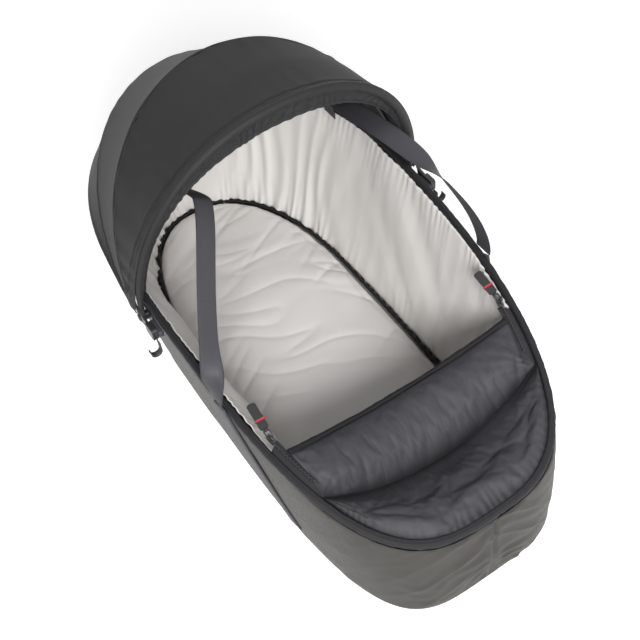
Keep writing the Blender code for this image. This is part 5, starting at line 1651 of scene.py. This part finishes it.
def handle_ends(side):
    """Where a handle leaves the outer wall, and where it enters inside the binding."""
    foot_height = rim_height(HANDLE_FOOT_Y)
    foot_x = wall_x(HANDLE_FOOT_Y, foot_height) + STRIP_PROUD + WEBBING_THICKNESS / 2
    head_height = rim_height(HANDLE_HEAD_Y)
    head_inset = BINDING_WIDTH + GAP + WEBBING_THICKNESS / 2
    head_x = wall_x(HANDLE_HEAD_Y + WEBBING_WIDTH / 2, head_height, head_inset)
    return (Vector((side * foot_x, HANDLE_FOOT_Y, foot_height + GAP)),
            Vector((side * head_x, HANDLE_HEAD_Y, head_height + GAP)))


def handle_spot(shape, share, twist):
    """A point of a handle's arch and the direction of its width there."""
    side, tall, lean, leg_lean, skew, roundness = shape
    foot, head = handle_ends(side)
    angle = math.pi * share
    along = 0.5 - 0.5 * power(math.cos(angle), 2.0 / roundness)
    up = abs(math.sin(angle)) ** (2.0 / roundness)
    tilt = mix(leg_lean, lean, up) + skew * (2 * along - 1)
    base = foot.lerp(head, along) + Vector((0, 0, HANDLE_STUB))
    point = base + Vector((-side * tall * up * math.sin(tilt), 0, tall * up * math.cos(tilt)))
    flat = Vector((0, 1, 0))
    square = Vector((side * math.cos(lean), 0, math.sin(lean)))
    first, last = twist if share < 0.5 else HEAD_TWIST_SHARES
    turn = smooth((min(share, 1 - share) - first) / (last - first))
    direction = -1 if share > 0.5 else 1
    return point, (flat * direction).lerp(square, turn)


def handle_piece(side_name, material):
    """One carrying handle, a strap that turns flat side up over its arch."""
    shape = HANDLE_SHAPES[side_name]
    twist = TWIST_SHARES[side_name]
    foot, head = handle_ends(shape[0])

    def centre_line(share):
        if share <= 0:
            return foot, Vector((0, 1, 0))
        if share >= 1:
            return head, Vector((0, -1, 0))
        return handle_spot(shape, (share - LINE_STEP) / (1 - 2 * LINE_STEP), twist)

    shares = np.linspace(0.0, 1.0, 600)
    points = np.array([centre_line(share)[0] for share in shares])
    lengths = np.concatenate(([0.0], np.cumsum(np.linalg.norm(np.diff(points, axis=0), axis=1))))

    def place(u, v):
        share = float(np.interp(u * lengths[-1], lengths, shares))
        point, across = centre_line(share)
        before = centre_line(max(0.0, share - LINE_STEP))[0]
        after = centre_line(min(1.0, share + LINE_STEP))[0]
        tangent = (after - before).normalized()
        across = (across - tangent * across.dot(tangent)).normalized()
        normal = tangent.cross(across)
        turn = 2 * math.pi * v
        width = WEBBING_WIDTH / 2 * power(math.cos(turn), 0.30)
        height = WEBBING_THICKNESS / 2 * power(math.sin(turn), 0.60)
        height += WEBBING_UNEVEN * rough(u * 9, v, 81)
        return point + across * width + normal * height

    bm = grid(260, 28, place, (lengths[-1], WEBBING_GIRTH), closed_v=True)
    fill_ends(bm)
    piece = finished(f"handle_webbing_{side_name}", bm, material, f"handle_{side_name}")
    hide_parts(f"handle_{side_name}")


def copied_piece(node, name, material, body, cuts):
    """A finer, softer copy of a small sewn-on piece of the frame."""
    bm = bmesh.new()
    bm.from_mesh(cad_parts[node].data)
    bmesh.ops.remove_doubles(bm, verts=bm.verts, dist=MERGE_DISTANCE)
    bmesh.ops.subdivide_edges(bm, edges=bm.edges, cuts=cuts, use_grid_fill=True)
    piece = finished(name, bm, material, body)
    piece.data.set_sharp_from_angle(angle=math.radians(50))
    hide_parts(node)


class CARRYCOT_OT_webbing(bpy.types.Operator):
    """Handles, the webbing sewn to the walls, and the clip straps."""

    bl_idname = "carrycot.webbing"
    bl_label = "Webbing"

    def execute(self, context):
        colour = settings().webbing_colour
        rows = [stitched(WEBBING_GIRTH * share, pitch=LONG_PITCH, width=0.0004)
                for share in WEBBING_STITCH_SHARES]
        strap = cloth_material("strap_weave", colour, roughness=0.50, pitch=0.0016, weave=0.55,
                               creases=0.15, shade=0.16, gloss=0.30, stitches=rows,
                               thread=(0.10, 0.10, 0.11))
        sewn = cloth_material("sewn_strap_weave", colour, roughness=0.55, pitch=0.0016,
                              weave=0.5, shade=0.16, object_space=True)
        for side_name in HANDLE_SHAPES:
            handle_piece(side_name, strap)
            for node, name, body, cuts in (
                    ("handle_strip", "sewn_strap", "tub", 2),
                    ("handle_tab", "sewn_end", "tub", 2),
                    ("clip_anchor", "clip_loop", f"clip_{side_name}", 2),
                    ("clip_tail", "clip_strap", f"clip_{side_name}", 1)):
                copied_piece(f"{node}_{side_name}", f"{name}_{side_name}", sewn, body, cuts)
        return {"FINISHED"}


class CARRYCOT_OT_hardware(bpy.types.Operator):
    """Better finishes for the frame's own plastic, metal and stiff board parts."""

    bl_idname = "carrycot.hardware"
    bl_label = "Plastic and metal"

    def execute(self, context):
        plastic = plastic_material("moulded_black", (0.016, 0.016, 0.018), roughness=0.36)
        tab = plastic_material("tab_black", (0.012, 0.012, 0.013), roughness=0.50, scale=500.0,
                               grain=0.4)
        red = plastic_material("red_band", (0.42, 0.03, 0.05), roughness=0.42)
        steel = plastic_material("dark_steel", (0.075, 0.075, 0.080), roughness=0.34,
                                 metallic=0.9)
        board = plastic_material("stiff_board", (0.50, 0.47, 0.43), roughness=0.80, scale=200.0)
        finishes = {"bow": plastic, "clip": plastic, "pivot_plate": plastic, "zip_pull": tab,
                    "pull_stripe": red, "pivot_pin": steel, "zip_slider": steel,
                    "zip_link": steel, "base_board": board, "stiffener": board}
        for name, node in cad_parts.items():
            for start, finish in finishes.items():
                if name.startswith(start) and not node.hide_render:
                    for slot in node.material_slots:
                        slot.material = finish
        return {"FINISHED"}


# Stage

def seen_directly(w):
    """1 on the rays that show the background itself, also in gloss and through glass."""
    rays = w.node("ShaderNodeLightPath")
    seen = w.math("MAXIMUM", rays.outputs["Is Camera Ray"], rays.outputs["Is Glossy Ray"])
    return w.math("MAXIMUM", seen, rays.outputs["Is Transmission Ray"])


class CARRYCOT_OT_stage(bpy.types.Operator):
    """Pale floor, soft studio light and the camera."""

    bl_idname = "carrycot.stage"
    bl_label = "Stage"

    def execute(self, context):
        scene = context.scene
        scene.view_settings.view_transform = "Standard"
        self.camera(scene)
        self.floor(scene)
        self.world(scene)
        self.lamps(scene)
        return {"FINISHED"}

    def camera(self, scene):
        """A camera at the photograph's viewing angle."""
        back = Vector((math.sin(CAMERA_TURN) * math.cos(CAMERA_RISE),
                       -math.cos(CAMERA_TURN) * math.cos(CAMERA_RISE), math.sin(CAMERA_RISE)))
        right = Vector((math.cos(CAMERA_TURN), math.sin(CAMERA_TURN), 0))
        up = back.cross(right)
        across = right * math.cos(CAMERA_ROLL) + up * math.sin(CAMERA_ROLL)
        upright = up * math.cos(CAMERA_ROLL) - right * math.sin(CAMERA_ROLL)
        data = bpy.data.cameras.new("camera")
        data.lens = CAMERA_LENS
        data.sensor_width = SENSOR_WIDTH
        camera = bpy.data.objects.new("camera", data)
        scene.collection.objects.link(camera)
        place = Matrix((across, upright, back)).transposed().to_4x4()
        place.translation = Vector(CAMERA_TARGET) + back * CAMERA_DISTANCE
        camera.matrix_world = place
        scene.camera = camera

    def floor(self, scene):
        """A matt floor that keeps the shadow, and is brighter where it is seen directly."""
        bm = bmesh.new()
        bmesh.ops.create_grid(bm, x_segments=1, y_segments=1, size=FLOOR_SIZE)
        bmesh.ops.translate(bm, verts=bm.verts, vec=(0, 0, -FLOOR_DROP))
        mesh = bpy.data.meshes.new("floor")
        bm.to_mesh(mesh)
        bm.free()
        floor = bpy.data.objects.new("floor", mesh)
        scene.collection.objects.link(floor)
        paper, w, shader = blank_material("floor_paper")
        w.join(FLOOR_COLOUR, shader.inputs["Base Color"])
        w.join(0.9, shader.inputs["Roughness"])
        w.join(0.0, shader.inputs["Specular IOR Level"])
        glow = w.node("ShaderNodeEmission")
        w.join(w.math("MULTIPLY", seen_directly(w), FLOOR_GLOW), glow.inputs["Strength"])
        total = w.node("ShaderNodeAddShader")
        w.join(shader.outputs[0], total.inputs[0])
        w.join(glow.outputs[0], total.inputs[1])
        w.join(total.outputs[0], paper.node_tree.nodes["Material Output"].inputs["Surface"])
        mesh.materials.append(paper)

    def world(self, scene):
        """A plain light, and white where it is seen directly."""
        world = bpy.data.worlds.new("studio")
        scene.world = world
        world.use_nodes = True
        w = Wiring(world.node_tree)
        light = world.node_tree.nodes["Background"]
        strength = w.math("MULTIPLY_ADD", seen_directly(w), 1 - WORLD_STRENGTH, WORLD_STRENGTH)
        w.join(strength, light.inputs["Strength"])
        w.join(WHITE, light.inputs["Color"])

    def lamps(self, scene):
        """Round soft lamps that face the carrycot."""
        for name, (spot, size, energy) in LAMPS.items():
            data = bpy.data.lights.new(name, "AREA")
            data.shape = "DISK"
            data.size = size
            data.energy = energy
            lamp = bpy.data.objects.new(name, data)
            lamp.location = spot
            aim = Vector(LAMP_TARGET) - Vector(spot)
            lamp.rotation_mode = "QUATERNION"
            lamp.rotation_quaternion = aim.to_track_quat("-Z", "Y")
            scene.collection.objects.link(lamp)


class CARRYCOT_PT_panel(bpy.types.Panel):
    """Lists the carrycot's settings and pieces."""

    bl_idname = "CARRYCOT_PT_panel"
    bl_label = "Carrycot"
    bl_space_type = "VIEW_3D"
    bl_region_type = "UI"
    bl_category = "Carrycot"

    def draw(self, context):
        for name in CarrycotSettings.__annotations__:
            self.layout.prop(context.scene.carrycot, name)
        for operator in OPERATORS:
            self.layout.operator(operator.bl_idname)


OPERATORS = (CARRYCOT_OT_stage, CARRYCOT_OT_tub, CARRYCOT_OT_binding, CARRYCOT_OT_lining,
             CARRYCOT_OT_mattress, CARRYCOT_OT_hood, CARRYCOT_OT_apron, CARRYCOT_OT_webbing,
             CARRYCOT_OT_hardware)
CLASSES = (CarrycotSettings, *OPERATORS, CARRYCOT_PT_panel)


def register():
    for item in CLASSES:
        bpy.utils.register_class(item)
    bpy.types.Scene.carrycot = bpy.props.PointerProperty(type=CarrycotSettings)


def unregister():
    del bpy.types.Scene.carrycot
    for item in reversed(CLASSES):
        bpy.utils.unregister_class(item)


def main():
    register()
    bpy.ops.carrycot.stage()
    bpy.ops.carrycot.tub()
    bpy.ops.carrycot.binding()
    bpy.ops.carrycot.lining()
    bpy.ops.carrycot.mattress()
    bpy.ops.carrycot.hood()
    bpy.ops.carrycot.apron()
    bpy.ops.carrycot.webbing()
    bpy.ops.carrycot.hardware()


if __name__ == "__main__":
    main()
